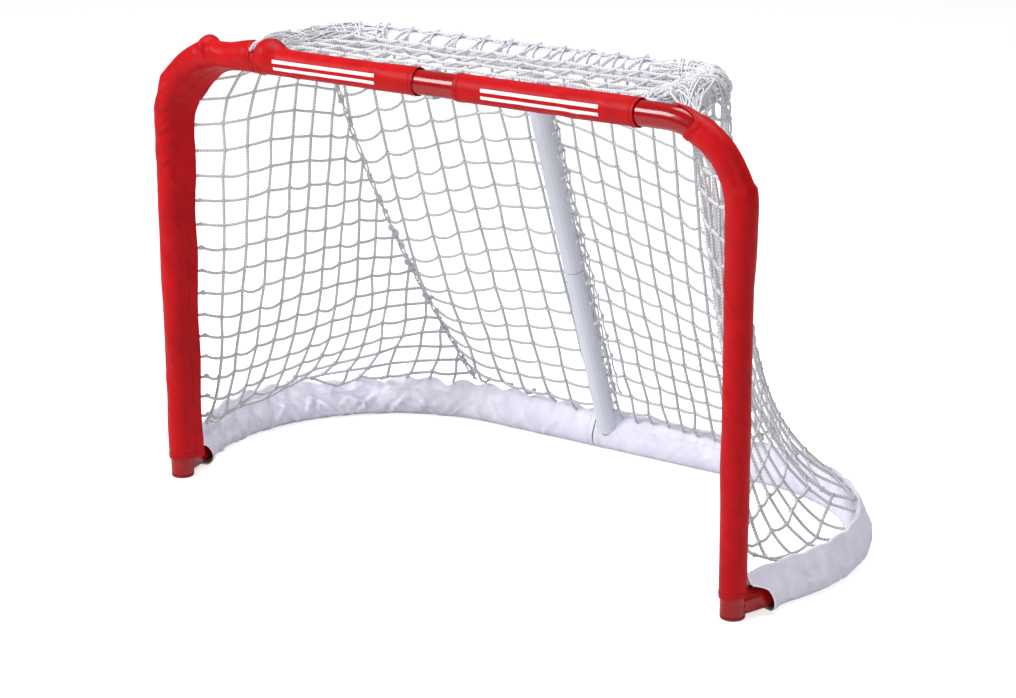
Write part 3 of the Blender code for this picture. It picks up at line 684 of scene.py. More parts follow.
def geometry_tree(name: str, sizes: dict[str, float], body: Callable[[Add, Any], Any]) -> bpy.types.NodeTree:
    """A Geometry Nodes tree that makes real geometry with a material from a mesh of lines.

    Args:
        name: the tree's name.
        sizes: its named inputs and their defaults.
        body: the function that adds its nodes, from the adding function and the inputs.

    Returns:
        The tree, made at the first call.
    """
    tree = bpy.data.node_groups.get(name)
    if tree is None:
        tree = bpy.data.node_groups.new(name, "GeometryNodeTree")
        tree.interface.new_socket("Geometry", in_out="INPUT", socket_type="NodeSocketGeometry")
        for word, value in sizes.items():
            kind = "NodeSocketInt" if isinstance(value, int) else "NodeSocketFloat"
            tree.interface.new_socket(word, in_out="INPUT", socket_type=kind).default_value = value
        tree.interface.new_socket("Material", in_out="INPUT", socket_type="NodeSocketMaterial")
        tree.interface.new_socket("Geometry", in_out="OUTPUT", socket_type="NodeSocketGeometry")
        add = adder(tree)
        given = add("NodeGroupInput").outputs
        smooth = add("SetShadeSmooth", {0: body(add, given)})
        real = add("RealizeInstances", {0: smooth})
        add("NodeGroupOutput", {0: add("SetMaterial", Geometry=real, Material=given["Material"])})
    return tree


def stitch_nodes(add: Add, given: Any) -> Any:
    """A row of arched stitches along each line.

    Args:
        add: adds a node.
        given: the tree's inputs.

    Returns:
        The last node.
    """
    curve = add("MeshToCurve", Mesh=given["Geometry"])
    even = add("ResampleCurve", {"mode": "LENGTH"}, Curve=curve, Length=given["Pitch"])
    # One stitch: a low arch that dives into the cloth at both ends
    arch = add(
        "CurveQuadraticBezier", Resolution=4, Start=(-0.5, 0.0, -0.10), Middle=(0.0, 0.0, 0.26),
        End=(0.5, 0.0, -0.10),
    )
    sized = add("ShaderNodeCombineXYZ", {0: given["Stitch Length"], 1: 0.003, 2: 0.003})
    thread = add("Transform", Geometry=arch, Scale=sized)
    ring = add("CurvePrimitiveCircle", {"mode": "RADIUS"}, Resolution=5, Radius=given["Thread Radius"])
    stitch = add("CurveToMesh", Curve=thread, Profile_Curve=ring, Fill_Caps=True)
    along = add("FunctionNodeAlignRotationToVector", {"axis": "X"}, Vector=add("InputTangent"))
    facing = add("InputNamedAttribute", {"data_type": "FLOAT_VECTOR"}, Name="facing")
    upright = add(
        "FunctionNodeAlignRotationToVector", {"axis": "Z", "pivot_axis": "X"}, Rotation=along, Vector=facing
    )
    return add("InstanceOnPoints", Points=even, Instance=stitch, Rotation=upright)


def twine_nodes(add: Add, given: Any) -> Any:
    """Twine along each line, with its run and turn as attributes and a knot at each marked point.

    Args:
        add: adds a node.
        given: the tree's inputs.

    Returns:
        The last node.
    """
    circle, vector = {"mode": "RADIUS"}, {"data_type": "FLOAT_VECTOR"}
    curve = add("MeshToCurve", Mesh=given["Geometry"])
    run = add("SplineParameter").outputs["Length"]
    marked = add("StoreNamedAttribute", {"data_type": "FLOAT"}, Geometry=curve, Name="run", Value=run)
    ring = add("CurvePrimitiveCircle", circle, Resolution=given["Sides"], Radius=given["Twine Radius"])
    turn = add("ShaderNodeVectorMath", {"operation": "NORMALIZE", 0: add("InputPosition")})
    section = add("StoreNamedAttribute", vector, Geometry=ring, Name="turn", Value=turn)
    cords = add("CurveToMesh", Curve=marked, Profile_Curve=section, Fill_Caps=True)
    # One knot is two loops of twine drawn tight across each other: a few dozen faces
    loop = add("CurvePrimitiveCircle", circle, Resolution=7, Radius=0.42)
    band = add("CurvePrimitiveCircle", circle, Resolution=4, Radius=0.46)
    wound = add("CurveToMesh", Curve=loop, Profile_Curve=band)
    leaned = add("Transform", Geometry=wound, Rotation=(0.5, 0.35, 0.0), Scale=(1.0, 1.25, 0.8))
    crossed = add("Transform", Geometry=wound, Rotation=(-0.6, 0.3, 1.5), Scale=(1.0, 1.2, 0.8))
    knot = add("JoinGeometry", {0: [leaned, crossed]})
    is_knot = add("InputNamedAttribute", {"data_type": "BOOLEAN"}, Name="knot")
    spots = add("MeshToPoints", {"mode": "VERTICES"}, Mesh=given["Geometry"], Selection=is_knot)
    facing = add("InputNamedAttribute", vector, Name="facing")
    upright = add("FunctionNodeAlignRotationToVector", {"axis": "Z"}, Vector=facing)
    seed = given["Seed"]
    lean = add("FunctionNodeRandomValue", vector | {0: (-0.4, -0.4, -0.6), 1: (0.4, 0.4, 0.6)}, Seed=seed)
    spin = add("FunctionNodeEulerToRotation", {0: lean})
    both = add("FunctionNodeRotateRotation", {"rotation_space": "LOCAL", 0: upright, 1: spin})
    swell = add("FunctionNodeRandomValue", {"data_type": "FLOAT", 2: 0.85, 3: 1.15}, Seed=seed).outputs[1]
    size = add("ShaderNodeMath", {"operation": "MULTIPLY", 0: swell, 1: given["Knot Size"]})
    knots = add("InstanceOnPoints", Points=spots, Instance=knot, Rotation=both, Scale=size)
    return add("JoinGeometry", {0: [cords, add("RealizeInstances", {0: knots})]})


def grown(
    name: str, lines: Sequence[Array], facing: Sequence[Array], tree: bpy.types.NodeTree,
    values: dict[str, Any], finish: Finish, knots: Sequence[Sequence[bool]] = (),
) -> Piece:
    """Runs a Geometry Nodes tree on lines and keeps what it makes as a plain piece.

    Args:
        name: the piece's name.
        lines: the lines, each a row of points.
        facing: for each line, which way what lies on it faces.
        tree: the tree.
        values: its named inputs.
        finish: what the piece is made of.
        knots: for each line, the marks of its knots.

    Returns:
        The piece, which rides on the goal.
    """
    edges, base = [], 0
    for line in lines:
        edges += [(base + k, base + k + 1) for k in range(len(line) - 1)]
        base += len(line)
    mesh = mesh_from(name + "_lines", np.concatenate(lines), [], edges)
    way = mesh.attributes.new("facing", "FLOAT_VECTOR", "POINT")
    way.data.foreach_set("vector", np.concatenate(facing).ravel())
    if knots:
        mark = mesh.attributes.new("knot", "BOOLEAN", "POINT")
        mark.data.foreach_set("value", [bool(m) for row in knots for m in row])
    raw = linked(name + "_lines", mesh)
    modifier = raw.modifiers.new("grown", "NODES")
    modifier.node_group = tree
    values = values | {"Material": finish.material()}
    for item in tree.interface.items_tree:
        if item.in_out == "INPUT" and item.name in values:
            modifier[item.identifier] = values[item.name]
    made = evaluated(raw)
    made.name = name + "_mesh"
    bpy.data.objects.remove(raw)
    bpy.data.meshes.remove(mesh)
    piece = new_piece(name, made, finish)
    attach(piece, BODY)
    return piece


def stitch_piece(name: str, lines: Sequence[tuple[Array, Array]], finish: Finish) -> Piece:
    """Sews stitches along lines that lie on cloth.

    Args:
        name: the piece's name.
        lines: for each line, its points and the points above them that say which way the cloth faces.
        finish: the thread.

    Returns:
        The stitches, one piece.
    """
    sizes = {"Pitch": 0.0042, "Stitch Length": 0.0030, "Thread Radius": 0.0003}
    tree = geometry_tree("running_stitches", sizes, stitch_nodes)
    facing = [unit(above - line) for line, above in lines]
    return grown(name, [line for line, _ in lines], facing, tree, {}, finish)


def twine_piece(
    name: str, cords: Sequence[Cord], finish: Finish, radius: float, knot_size: float = 0.0034,
    sides: int = 6, seed: int = 3,
) -> Piece:
    """Makes one piece of twine from cords, with knots where they are marked.

    Args:
        name: the piece's name.
        cords: the cords, each a row of points with the marks of its knots.
        finish: the twine.
        radius: the twine's radius.
        knot_size: half a knot's size, about.
        sides: the twine's sides.
        seed: for how the knots lie.

    Returns:
        The piece, a plain mesh that rides on the goal.
    """
    lines, knots = zip(*cords)
    facing = [unit(np.cross(np.gradient(line, axis=0), np.array([0.0, 0.35, 0.94]))) for line in lines]
    values = {"Twine Radius": radius, "Knot Size": knot_size, "Seed": seed, "Sides": sides}
    tree = geometry_tree("knotted_twine", values, twine_nodes)
    return grown(name, lines, facing, tree, values, finish, knots)


# Cloth covers


@dataclass(frozen=True)
class Fold:
    """One crease or ridge pressed into a cover, from one place to another.

    Args:
        start: its run along the cover and its turn round it, in metres and radians.
        stop: the same at its other end.
        height: how far it stands out, or in where it is less than nothing.
        width: its half width.
    """

    start: tuple[float, float]
    stop: tuple[float, float]
    height: float
    width: float

    def lift(self, run: Array, angle: Array, radius: float) -> Array:
        """How far the fold moves the cloth at each place.

        Args:
            run: runs along the cover.
            angle: turns round it.
            radius: the radius that turns a turn into a distance.

        Returns:
            The distances outward.
        """
        a, b = (np.array([end[0], end[1] * radius]) for end in (self.start, self.stop))
        d = b - a
        total = np.zeros_like(run)
        for wrap in (-2 * pi * radius, 0.0, 2 * pi * radius):
            px, py = run - a[0], angle * radius + wrap - a[1]
            share = np.clip((px * d[0] + py * d[1]) / max(d @ d, 1e-12), 0, 1)
            off = np.hypot(px - share * d[0], py - share * d[1])
            taper = 0.35 + 0.65 * np.sin(pi * np.clip(share, 0.02, 0.98))
            near = bell(off, self.width) - 0.35 * bell(off - 1.9 * self.width, self.width)
            more = np.abs(near) > np.abs(total / max(abs(self.height), 1e-9))
            total = np.where(more, self.height * taper * near, total)
        return total


@dataclass
class Cover:
    """A cloth cover round a tube, drawn out to a doubled edge where it closes.

    Args:
        name: the node that it stands for.
        route: the line that it follows.
        radius: its outer radius where it lies on the tube.
        tip: how far its closing edge stands from the line.
        tip_angle: the turn of that edge.
        start, stop: its ends along the route, for each turn round it.
        folds: its folds.
        shape: how far it departs from a taut cover, by run, turn and reach.
        tip_at: how far the closing edge stands out along the route, where that changes.
        edge_half: half the closing edge's thickness.
        step: the distance from one row of points to the next.
        hem: the width of the hems at its ends.
        thickness: the cloth's.
    """

    name: str
    route: Route
    radius: float
    tip: float
    tip_angle: float
    start: Callable[[Array], Array]
    stop: Callable[[Array], Array]
    folds: list[Fold]
    shape: Callable[[Array, Array, Array], Array]
    tip_at: Optional[Callable[[Array], Array]] = None
    edge_half: float = 0.0016
    step: float = 0.0032
    hem: float = 0.007
    thickness: float = 0.0008

    def angles(self) -> Array:
        """The turns of its rows of points, closer together at the closing edge."""
        off = np.concatenate([[0.0, 0.022, 0.045, 0.07, 0.10, 0.14, 0.19, 0.25], np.linspace(0.32, pi, 28)])
        return self.tip_angle + np.concatenate([off, 2 * pi - off[1:-1][::-1]])

    def reach(self, run: Array, angle: Array) -> Array:
        """The cover's distance from the line at each place, with its folds.

        Args:
            run: how far along.
            angle: the turns round it.

        Returns:
            The distances.
        """
        off = np.abs(turned(angle - self.tip_angle))
        tip = self.tip if self.tip_at is None else self.tip_at(run)
        open_angle = np.arccos(self.radius / tip)
        reach = self.radius / np.cos(np.maximum(open_angle - np.maximum(off, self.edge_half / tip), 0))
        reach = reach + self.shape(run, angle, reach)
        for fold in self.folds:
            reach = reach + fold.lift(run, angle, self.radius)
        return np.maximum(reach, self.radius - 0.0004)

    def place(self, run: Array, angle: Array, over: float = 0.0) -> Array:
        """Points on the cover, or a little over it.

        Args:
            run: how far along.
            angle: the turns round it.
            over: the distance off the cloth.

        Returns:
            The points.
        """
        run, angle = np.broadcast_arrays(run, angle)
        return above_floor(self.route.around(run, angle, self.reach(run, angle) + over), 0.0009)

    def grid(self) -> tuple[Array, Array, Array]:
        """The cover's points with their runs and turns, one row for each step along it.

        Returns:
            The points, their runs and their turns.
        """
        angles = self.angles()
        first, last = self.start(angles), self.stop(angles)
        length = max(float(np.mean(last - first)), 0.01)
        steps = max(4, int(round(length / self.step)))
        hem = np.array([0.0, 0.0009, 0.0022, self.hem, self.hem + 0.0008]) / length
        share = np.unique(np.concatenate([np.linspace(0, 1, steps + 1), hem, 1 - hem]))
        run = first[None, :] + (last - first)[None, :] * share[:, None]
        angle = np.broadcast_to(angles, run.shape)
        ends = np.minimum(share, 1 - share)[:, None] * length
        reach = self.reach(run, angle) + np.where(ends < self.hem + 0.0004, self.thickness * 0.3, 0.0)
        return above_floor(self.route.around(run, angle, reach), 0.0002), run, angle

    def build(self, finish: Finish) -> Piece:
        """Makes the cover as one thick cloth.

        Args:
            finish: its cloth.

        Returns:
            The piece, with its thickness as a modifier.
        """
        points, run, angle = self.grid()
        rows, count = run.shape
        faces, corners = [], []
        across = self.radius * (angle - self.tip_angle)
        for r in range(rows - 1):
            for k in range(count):
                n = (k + 1) % count
                faces.append((r * count + k, r * count + n, (r + 1) * count + n, (r + 1) * count + k))
                low = across[r, k]
                high = across[r, n] if n else low + self.radius * (2 * pi / count)
                corners += [(run[r, k], low), (run[r, n], high), (run[r + 1, n], high), (run[r + 1, k], low)]
        mesh = mesh_from(self.name + "_cloth", points.reshape(-1, 3), faces)
        mesh.uv_layers.new(name="cloth").data.foreach_set("uv", np.array(corners, float).ravel())
        middle = np.repeat(self.route.at(run.mean(axis=1))[:-1], count, axis=0)
        out = np.array([face.center for face in mesh.polygons]) - middle
        if float((out * np.array([face.normal for face in mesh.polygons])).sum()) < 0:
            mesh.flip_normals()
        piece = new_piece(self.name + "_cover", mesh, finish)
        wall = piece.modifiers.new("cloth_thickness", "SOLIDIFY")
        wall.thickness = self.thickness
        wall.offset = -1
        wall.use_even_offset = False
        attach(piece, BODY)
        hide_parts(self.name)
        return piece

    def seams(self, finish: Finish, tail: Optional[Array], turns: Array, hems: tuple[float, float]) -> Piece:
        """Sews the cover's stitching.

        Args:
            finish: the thread.
            tail: the runs of the two seams along its closing edge, where it has them.
            turns: the turns of the hems round its ends.
            hems: how far in from each end they lie.

        Returns:
            The stitches.
        """
        ends = (self.start(turns) + hems[0], self.stop(turns) - hems[1])
        lines = [(self.place(run, turns, 0.0009), self.place(run, turns, 0.0100)) for run in ends]
        if tail is not None:
            for turn in (0.42, -0.42):
                over = self.place(tail, self.tip_angle + turn, 0.0003)
                lines.append((over, self.place(tail, self.tip_angle + 2.6 * turn, 0.0150)))
        return stitch_piece(self.name + "_stitches", lines, finish)


@dataclass(frozen=True)
class Outline:
    """How a sleeve's outline departs from a taut one, as it was measured in the photograph.

    Args:
        outer: pairs of a run and how far the outer side stands off there.
        tail: pairs of a run and the reach of the closing edge there.
        bag: how loose the cloth hangs elsewhere.
    """

    outer: tuple[tuple[float, float], ...]
    tail: tuple[tuple[float, float], ...] = ()
    bag: float = 0.0006

    def tail_at(self, shift: float) -> Callable[[Array], Array]:
        """The closing edge's reach along a cover whose outline starts at a run."""
        runs, reaches = np.array(self.tail).T
        return lambda run: np.interp(run - shift, runs, reaches)

    def change(self, shift: float, side: Side, phase: float) -> Callable[[Array, Array, Array], Array]:
        """The change of reach at each place of a cover.

        Args:
            shift: the run where the outline's own runs start.
            side: which half the cover is on.
            phase: sets its slow waves off against the other covers'.

        Returns:
            A function of run, turn and reach.
        """
        runs, heights = np.array(self.outer).T

        def lift(run: Array, angle: Array, reach: Array) -> Array:
            """The outline's own step, and slow waves where the cloth hangs free.

            Args:
                run: how far along.
                angle: the turns round it.
                reach: how far out a taut cover is.

            Returns:
                The distances outward.
            """
            outside = np.clip(0.30 - 0.95 * side.value * np.sin(angle), 0, 1)
            wave = np.sin(run * 23 + phase) + 0.6 * np.sin(run * 61 + 2.1 * phase + angle)
            tail = np.clip((reach - SLEEVE_R - 0.004) / 0.012, 0, 1)
            ripple = 0.0011 * np.sin(run * 47 + phase) * tail
            step = np.interp(run - shift, runs, heights) * outside
            return step + self.bag * np.maximum(wave, -0.2) * (1 - 0.6 * tail) + ripple

        return lift


LEFT_POST = Outline(
    ((-0.3, 0.0), (0.008, 0.0), (0.018, 0.0012), (0.038, 0.0), (0.0576, 0.0036), (0.064, 0.0022),
     (0.0785, 0.0002), (0.1000, 0.0), (0.1187, 0.0008), (0.1310, 0.0030), (0.1396, 0.0088), (0.1432, 0.0040),
     (0.1480, 0.0010), (0.157, 0.0002), (0.172, 0.0006), (0.184, 0.0030), (0.198, 0.0058), (0.2098, 0.0076),
     (0.2160, 0.0040), (0.2210, 0.0004)),
    ((-0.45, 0.031), (-0.2, 0.034), (-0.02, 0.038), (0.035, 0.044), (0.061, 0.047), (0.105, 0.046),
     (0.14, 0.040), (0.17, 0.034), (0.205, 0.027), (0.2210, 0.0205)),
)
RIGHT_POST = Outline(
    ((-0.3, 0.0), (-0.09, 0.0008), (-0.02, 0.0032), (0.012, 0.0048), (0.0244, 0.0056), (0.0320, 0.0022),
     (0.05, 0.0010), (0.075, 0.0014), (0.095, 0.0008), (0.112, 0.0010), (0.125, 0.0002)),
    ((-0.45, 0.031), (-0.2, 0.033), (0.0, 0.035), (0.05, 0.036), (0.118, 0.032)),
)
LEFT_BAR = Outline(
    ((0.0, 0.0008), (0.004, 0.0070), (0.010, 0.0112), (0.020, 0.0118), (0.028, 0.0075), (0.036, 0.0022),
     (0.050, 0.0006), (0.253, 0.0004)),
    bag=0.0004,
)
RIGHT_BAR = Outline(((0.0, 0.0006), (0.262, 0.0004)), bag=0.0004)

# The slanting creases below the left post's upper corner: run, how far each climbs, and height
CORNER_CREASES = (
    (-0.092, 0.020, -0.0032), (-0.060, 0.017, 0.0026), (-0.047, 0.018, -0.0034), (-0.020, 0.022, 0.0024),
    (0.000, 0.020, -0.0034), (0.014, 0.018, 0.0025), (0.030, 0.016, -0.0036), (0.052, 0.014, 0.0024),
    (0.072, 0.012, -0.0028), (0.096, 0.010, 0.0018),
)


@dataclass
class Sleeves:
    """The red sleeves of the posts and the crossbar.

    Args:
        bottom: the height where the posts' sleeves start.
        left_meeting_x: where the two left sleeves meet.
        right_start_x, right_end_x: the ends of the right crossbar sleeve.
        corner_share: how much of the bend the right post's sleeve covers.
        pinch: where the left post's sleeve is pinched, from the bend's start.
    """

    bottom: float = 0.028
    left_meeting_x: float = -0.272
    right_start_x: float = 0.043
    right_end_x: float = 0.303
    corner_share: float = 6 / 8
    pinch: float = 0.1396

    def creases(self, seed: int, count: int, low: float, high: float, lean: float) -> list[Fold]:
        """Long shallow folds scattered over a stretch of a cover's front.

        Args:
            seed: for the places.
            count: how many.
            low, high: the stretch, as runs along the cover.
            lean: how far a fold climbs along the cover.

        Returns:
            The folds.
        """
        rng = np.random.default_rng(seed)
        folds = []
        for _ in range(count):
            run, angle = rng.uniform(low, high), rng.uniform(pi - 1.6, pi + 1.6)
            span, climb = rng.uniform(0.5, 1.3), lean * rng.uniform(0.6, 1.6)
            height = rng.uniform(0.0005, 0.0013) * (1 if rng.random() < 0.65 else -1)
            folds.append(Fold((run, angle), (run + climb, angle + span), height, rng.uniform(0.0030, 0.0060)))
        return folds

    def sewn(self, cover: Cover, side: Side, cloth: Finish, length: float) -> list[Piece]:
        """Args:
            cover: the sleeve.
            side: which half it is on; not used.
            cloth: its finish.
            length: its flat length; not used.

        Returns:
            The sleeve and its stitches.
        """
        piece = cover.build(cloth)
        turns = cover.tip_angle + np.linspace(0.30, 2 * pi - 0.30, 60)
        tail = None
        if cover.tip_at is not None:
            tail = np.linspace(0.012, cover.route.length - 0.03, 200)
            tail = tail[tail < float(np.mean(cover.stop(turns))) - 0.010]
        stitches = cover.seams(RED_THREAD, tail, turns, (cover.hem - 0.0012, cover.hem - 0.0012))
        return [piece, stitches]

    def post(self, side: Side) -> list[Piece]:
        """Makes one post's sleeve, which on the left goes on round the corner to the crossbar's.

        Args:
            side: which post.

        Returns:
            The sleeve and its stitches.
        """
        left = side is Side.LEFT
        straight = CROSSBAR_Z - CORNER_RADIUS - self.bottom
        quarter = pi / 2 * CORNER_RADIUS
        end_x = -self.left_meeting_x if left else POST_X - CORNER_RADIUS - 0.01
        route = front_route(side, end_x, self.bottom)
        last = route.length if left else straight + quarter * self.corner_share
        slant, tongue = (0.0, 0.0) if left else (0.006, 0.040)
        folds = self.creases(5 if left else 9, 9, straight - 0.06, straight + quarter, 0.020)
        folds += self.creases(15 if left else 19, 14 if left else 8, 0.03, straight, -0.030)
        if left:
            for run, climb, height in CORNER_CREASES:
                low = straight + run
                folds.append(Fold((low, pi * 0.86), (low + climb, pi * 1.34), height, 0.0023))
            pinch = straight + self.pinch
            folds.append(Fold((pinch + 0.006, pi * 0.55), (pinch + 0.008, pi * 1.05), -0.0044, 0.0020))
            folds.append(Fold((pinch - 0.012, pi * 0.60), (pinch - 0.006, pi * 0.95), -0.0026, 0.0036))

        def stop(turn: Array) -> Array:
            """The upper end, with the right sleeve's slant and its tongue over the tube."""
            plain = last + slant * np.sin(turn) + 0.0006 * np.sin(3 * turn)
            return plain + tongue * bell(turned(turn + 1.30), 0.62)

        outline = LEFT_POST if left else RIGHT_POST
        cover = Cover(
            f"{side.word}_post_sleeve", route, SLEEVE_R, POST_SLEEVE_TIP, side.value * pi / 4,
            lambda turn: 0.0012 * np.sin(2 * turn), stop, folds,
            outline.change(straight, side, 1.3 if left else 4.1), outline.tail_at(straight),
        )
        return self.sewn(cover, side, RED_CLOTH, last)

    def bar(self, side: Side) -> list[Piece]:
        """Makes one printed sleeve of the crossbar.

        Args:
            side: which half.

        Returns:
            The sleeve and its stitches.
        """
        left = side is Side.LEFT
        ends = (self.right_end_x, self.right_start_x)
        if left:
            ends = (self.left_meeting_x + 0.0006, CROSSBAR_SEAM_X)
        route = Route(np.array([(x, POST_Y, CROSSBAR_Z) for x in ends]), Y_AXIS)
        length = route.length
        cover = Cover(
            f"{side.word}_crossbar_sleeve", route, SLEEVE_R, CROSSBAR_SLEEVE_TIP, side.value * pi / 4,
            lambda turn: 0.0006 * np.sin(2 * turn + 1), lambda turn: length + 0.0006 * np.sin(3 * turn),
            self.creases(25 if left else 29, 5, 0.02, length - 0.03, 0.02),
            (LEFT_BAR if left else RIGHT_BAR).change(0.0, side, 2.2 if left else 0.4),
        )
        return self.sewn(cover, side, LEFT_PRINT if left else RIGHT_PRINT, length)

    def build(self) -> list[Piece]:
        """Makes the four sleeves with their seams."""
        return [piece for make in (self.post, self.bar) for side in Side for piece in make(side)]


@dataclass
class Skirts:
    """The white skirts round the base, drawn up to the edge where the net is tied.

    Args:
        begin: how far from the post's axis a skirt starts.
        split_x: where the two meet beside the strut's foot.
        scallop, pitch: the depth and length of the waves along the top edge.
        mouth: how far the mouth stands open.
        mouth_turns, mouth_runs: turns round the skirt, and where the mouth's rim starts at each.
        puckers: where the left skirt is tied down into deep puckers.
    """

    begin: float = 0.045
    split_x: float = -0.038
    scallop: float = 0.0060
    pitch: float = 0.048
    mouth: float = 0.0090
    mouth_turns: tuple[float, ...] = (0.0, 0.40, 0.65, 0.90, 1.57, 2.20, 3.15)
    mouth_runs: tuple[float, ...] = (-0.024, -0.024, -0.012, -0.004, -0.001, 0.003, 0.004)
    puckers: tuple[float, ...] = (0.304, 0.356, 0.456)

    def ties(self, side: Side, length: float) -> list[Fold]:
        """The folds that fan from the tie-downs on the lower edge.

        Args:
            side: which skirt.
            length: its length.

        Returns:
            The folds.
        """
        left = side is Side.LEFT
        rng = np.random.default_rng(31 if left else 37)
        # The chances that a fold is there and that it stands out
        there, out = 0.8, 0.45
        folds = []
        for face in (1, -1):
            inner, run = face * radians(90), 0.05
            while run < length - 0.03:
                for spread in (-0.034, -0.016, 0.014, 0.030):
                    if rng.random() < there:
                        head = (run + spread * rng.uniform(0.7, 1.4), inner - face * rng.uniform(0.8, 1.3))
                        height = rng.uniform(0.0022, 0.0044) * (1 if rng.random() < out else -1)
                        calm = (1.3 if run < 0.25 else 0.7) if left else 0.35
                        foot = (run, inner + face * 0.9)
                        folds.append(Fold(foot, head, height * calm, rng.uniform(0.0024, 0.0042)))
                run += rng.uniform(0.040, 0.066)
        for run in self.puckers if left else ():
            for spread in (-0.040, 0.036):
                folds.append(Fold((run, 2.5), (run + spread, 0.62), -0.0056, 0.0026))
                beside = run + 0.004 * np.sign(spread)
                folds.append(Fold((beside, 2.4), (run + 1.3 * spread, 0.70), 0.0040, 0.0028))
        return folds

    def skirt(self, side: Side) -> list[Piece]:
        """Args:
            side: which skirt.

        Returns:
            The skirt, the piping round its mouth and its stitches.
        """
        left = side is Side.LEFT
        route = base_route(side, self.begin, self.split_x + 0.0004 * side.value)
        length = route.length
        depth, calm, rise = (self.scallop, 1.0, 0.011) if left else (self.scallop * 0.45, 0.4, 0.0)
        edge = SKIRT_HEIGHT - BASE_Z + 0.004

        def change(run: Array, angle: Array, reach: Array) -> Array:
            """Scallops along the top edge, slow waves on the faces, and a mouth that stands open.

            Args:
                run: how far along.
                angle: the turns round it.
                reach: how far out a taut cover is.

            Returns:
                The distances outward.
            """
            off = np.abs(turned(angle))
            top = bell(off, 0.35)
            dip = 0.5 - 0.5 * np.cos(2 * pi * run / self.pitch + 0.7 * np.sin(run * 13))
            wave = 0.0016 * np.maximum(np.sin(run * 31 + 1.0), 0) + 0.0008 * np.sin(run * 73)
            below = np.clip(1.2 - 0.5 * off, 0, 1)
            mouth = self.mouth * bell(np.maximum(run + 0.020 - 0.026 * off / pi, 0), 0.020) * np.sin(off) ** 2
            drawn = sum(bell(run - spot, 0.016) for spot in self.puckers)
            sunk = 0.006 * drawn * top * left
            loose = 0.0036 * (1 - 0.8 * drawn) * left * np.sin(off) ** 2 * np.clip(run / 0.04, 0, 1)
            faces = (calm * np.maximum(wave, 0) + loose) * (1 - top) * below
            return -depth * dip**1.6 * top - sunk + faces + mouth

        cover = Cover(
            f"{side.word}_skirt", route, SKIRT_R, edge, 0.0,
            lambda turn: np.interp(np.abs(turned(turn)), self.mouth_turns, self.mouth_runs),
            lambda turn: length + 0 * turn, self.ties(side, length), change,
            lambda run: edge - 0.006 * bell(run + 0.03, 0.04) + rise * bell(run - 0.12, 0.11, 4),
            edge_half=0.0023, step=0.0035, hem=0.009,
        )
        piece = cover.build(WHITE_CLOTH)
        turns = np.linspace(0.05, 2 * pi - 0.05, 48)
        rim = above_floor(cover.place(cover.start(turns) + 0.0004, turns, 0.0), 0.0014)
        cord = (rim, [False] * len(rim))
        piping = twine_piece(f"{side.word}_skirt_piping", [cord], WHITE_BINDING, 0.0011, sides=8)
        stitches = cover.seams(WHITE_THREAD, np.linspace(0.012, length - 0.004, 420), turns, (0.0075, 0.0080))
        return [piece, piping, stitches]

    def build(self) -> list[Piece]:
        """Makes both skirts."""
        return [piece for side in Side for piece in self.skirt(side)]


# Netting


class Web:
    """Twine between knots, settled under its own weight and never stretched."""

    def __init__(self, seed: int) -> None:
        """Starts empty.

        Args:
            seed: for the small differences between one mesh and the next.
        """
        self.places: list[Array] = []
        self.held: list[bool] = []
        self.pairs: list[tuple[int, int]] = []
        self.rests: list[float] = []
        self.strands: list[list[int]] = []
        self.knots: set[int] = set()
        self.rng = np.random.default_rng(seed)

    def add(self, place: Array, held: bool) -> int:
        """Adds one point.

        Args:
            place: where it is.
            held: whether it stays there.

        Returns:
            Its number.
        """
        self.places.append(np.asarray(place, float))
        self.held.append(held)
        return len(self.places) - 1

    def strand(self, ends: Sequence[int], slack: Callable[[Array], float], pieces: int = 4) -> None:
        """Runs one cord through a row of knots.

        Args:
            ends: the knots in order.
            slack: the share of spare length at a place.
            pieces: how many straight pieces stand for a stretch between knots.
        """
        line = [ends[0]]
        for one, other in zip(ends, ends[1:]):
            a, b = self.places[one], self.places[other]
            gap = float(np.linalg.norm(b - a))
            rest = gap * (1 + max(slack((a + b) / 2) * self.rng.uniform(0.6, 1.4), -0.4)) / pieces
            inner = [self.add(a + (b - a) * k / pieces - Z_AXIS * 0.0002, False) for k in range(1, pieces)]
            chain = [one, *inner, other]
            self.pairs += list(zip(chain, chain[1:]))
            self.rests += [rest] * pieces
            line += inner + [other]
        self.strands.append(line)

    def settle(self, steps: int) -> Array:
        """Lets the web hang.

        Args:
            steps: how many small steps of time.

        Returns:
            The points.
        """
        place, rest = np.array(self.places), np.array(self.rests)
        one, other = np.array(self.pairs).T
        count, tick = len(place), 0.004
        uses = np.maximum(np.bincount(one, minlength=count) + np.bincount(other, minlength=count), 1)[:, None]
        free = np.where(self.held, 0.0, 1.0)
        weight = np.maximum(free[one] + free[other], 1e-9)
        ends = ((one, (free[one] / weight)[:, None]), (other, (free[other] / weight)[:, None]))
        speed = np.zeros_like(place)
        for step in range(steps):
            # Twine doesn't stretch, so a weaker pull at the end lets every piece come back to its length
            keep, fall, rounds = (0.80, 0.06, 16) if step > steps * 0.5 else (0.93, 2.0, 9)
            guess = place + speed * (tick * keep)
            guess[:, 2] -= free * fall * tick * tick
            for _ in range(rounds):
                gap = guess[other] - guess[one]
                long = np.maximum(np.linalg.norm(gap, axis=1), 1e-9)
                pull = gap * (np.maximum(long - rest, 0.0) / long)[:, None]
                near, far = (
                    np.stack([np.bincount(end, (pull * share)[:, k], count) for k in range(3)], -1)
                    for end, share in ends
                )
                guess += (near - far) / uses * 1.7
            speed = (guess - place) / tick
            place = guess
        return place


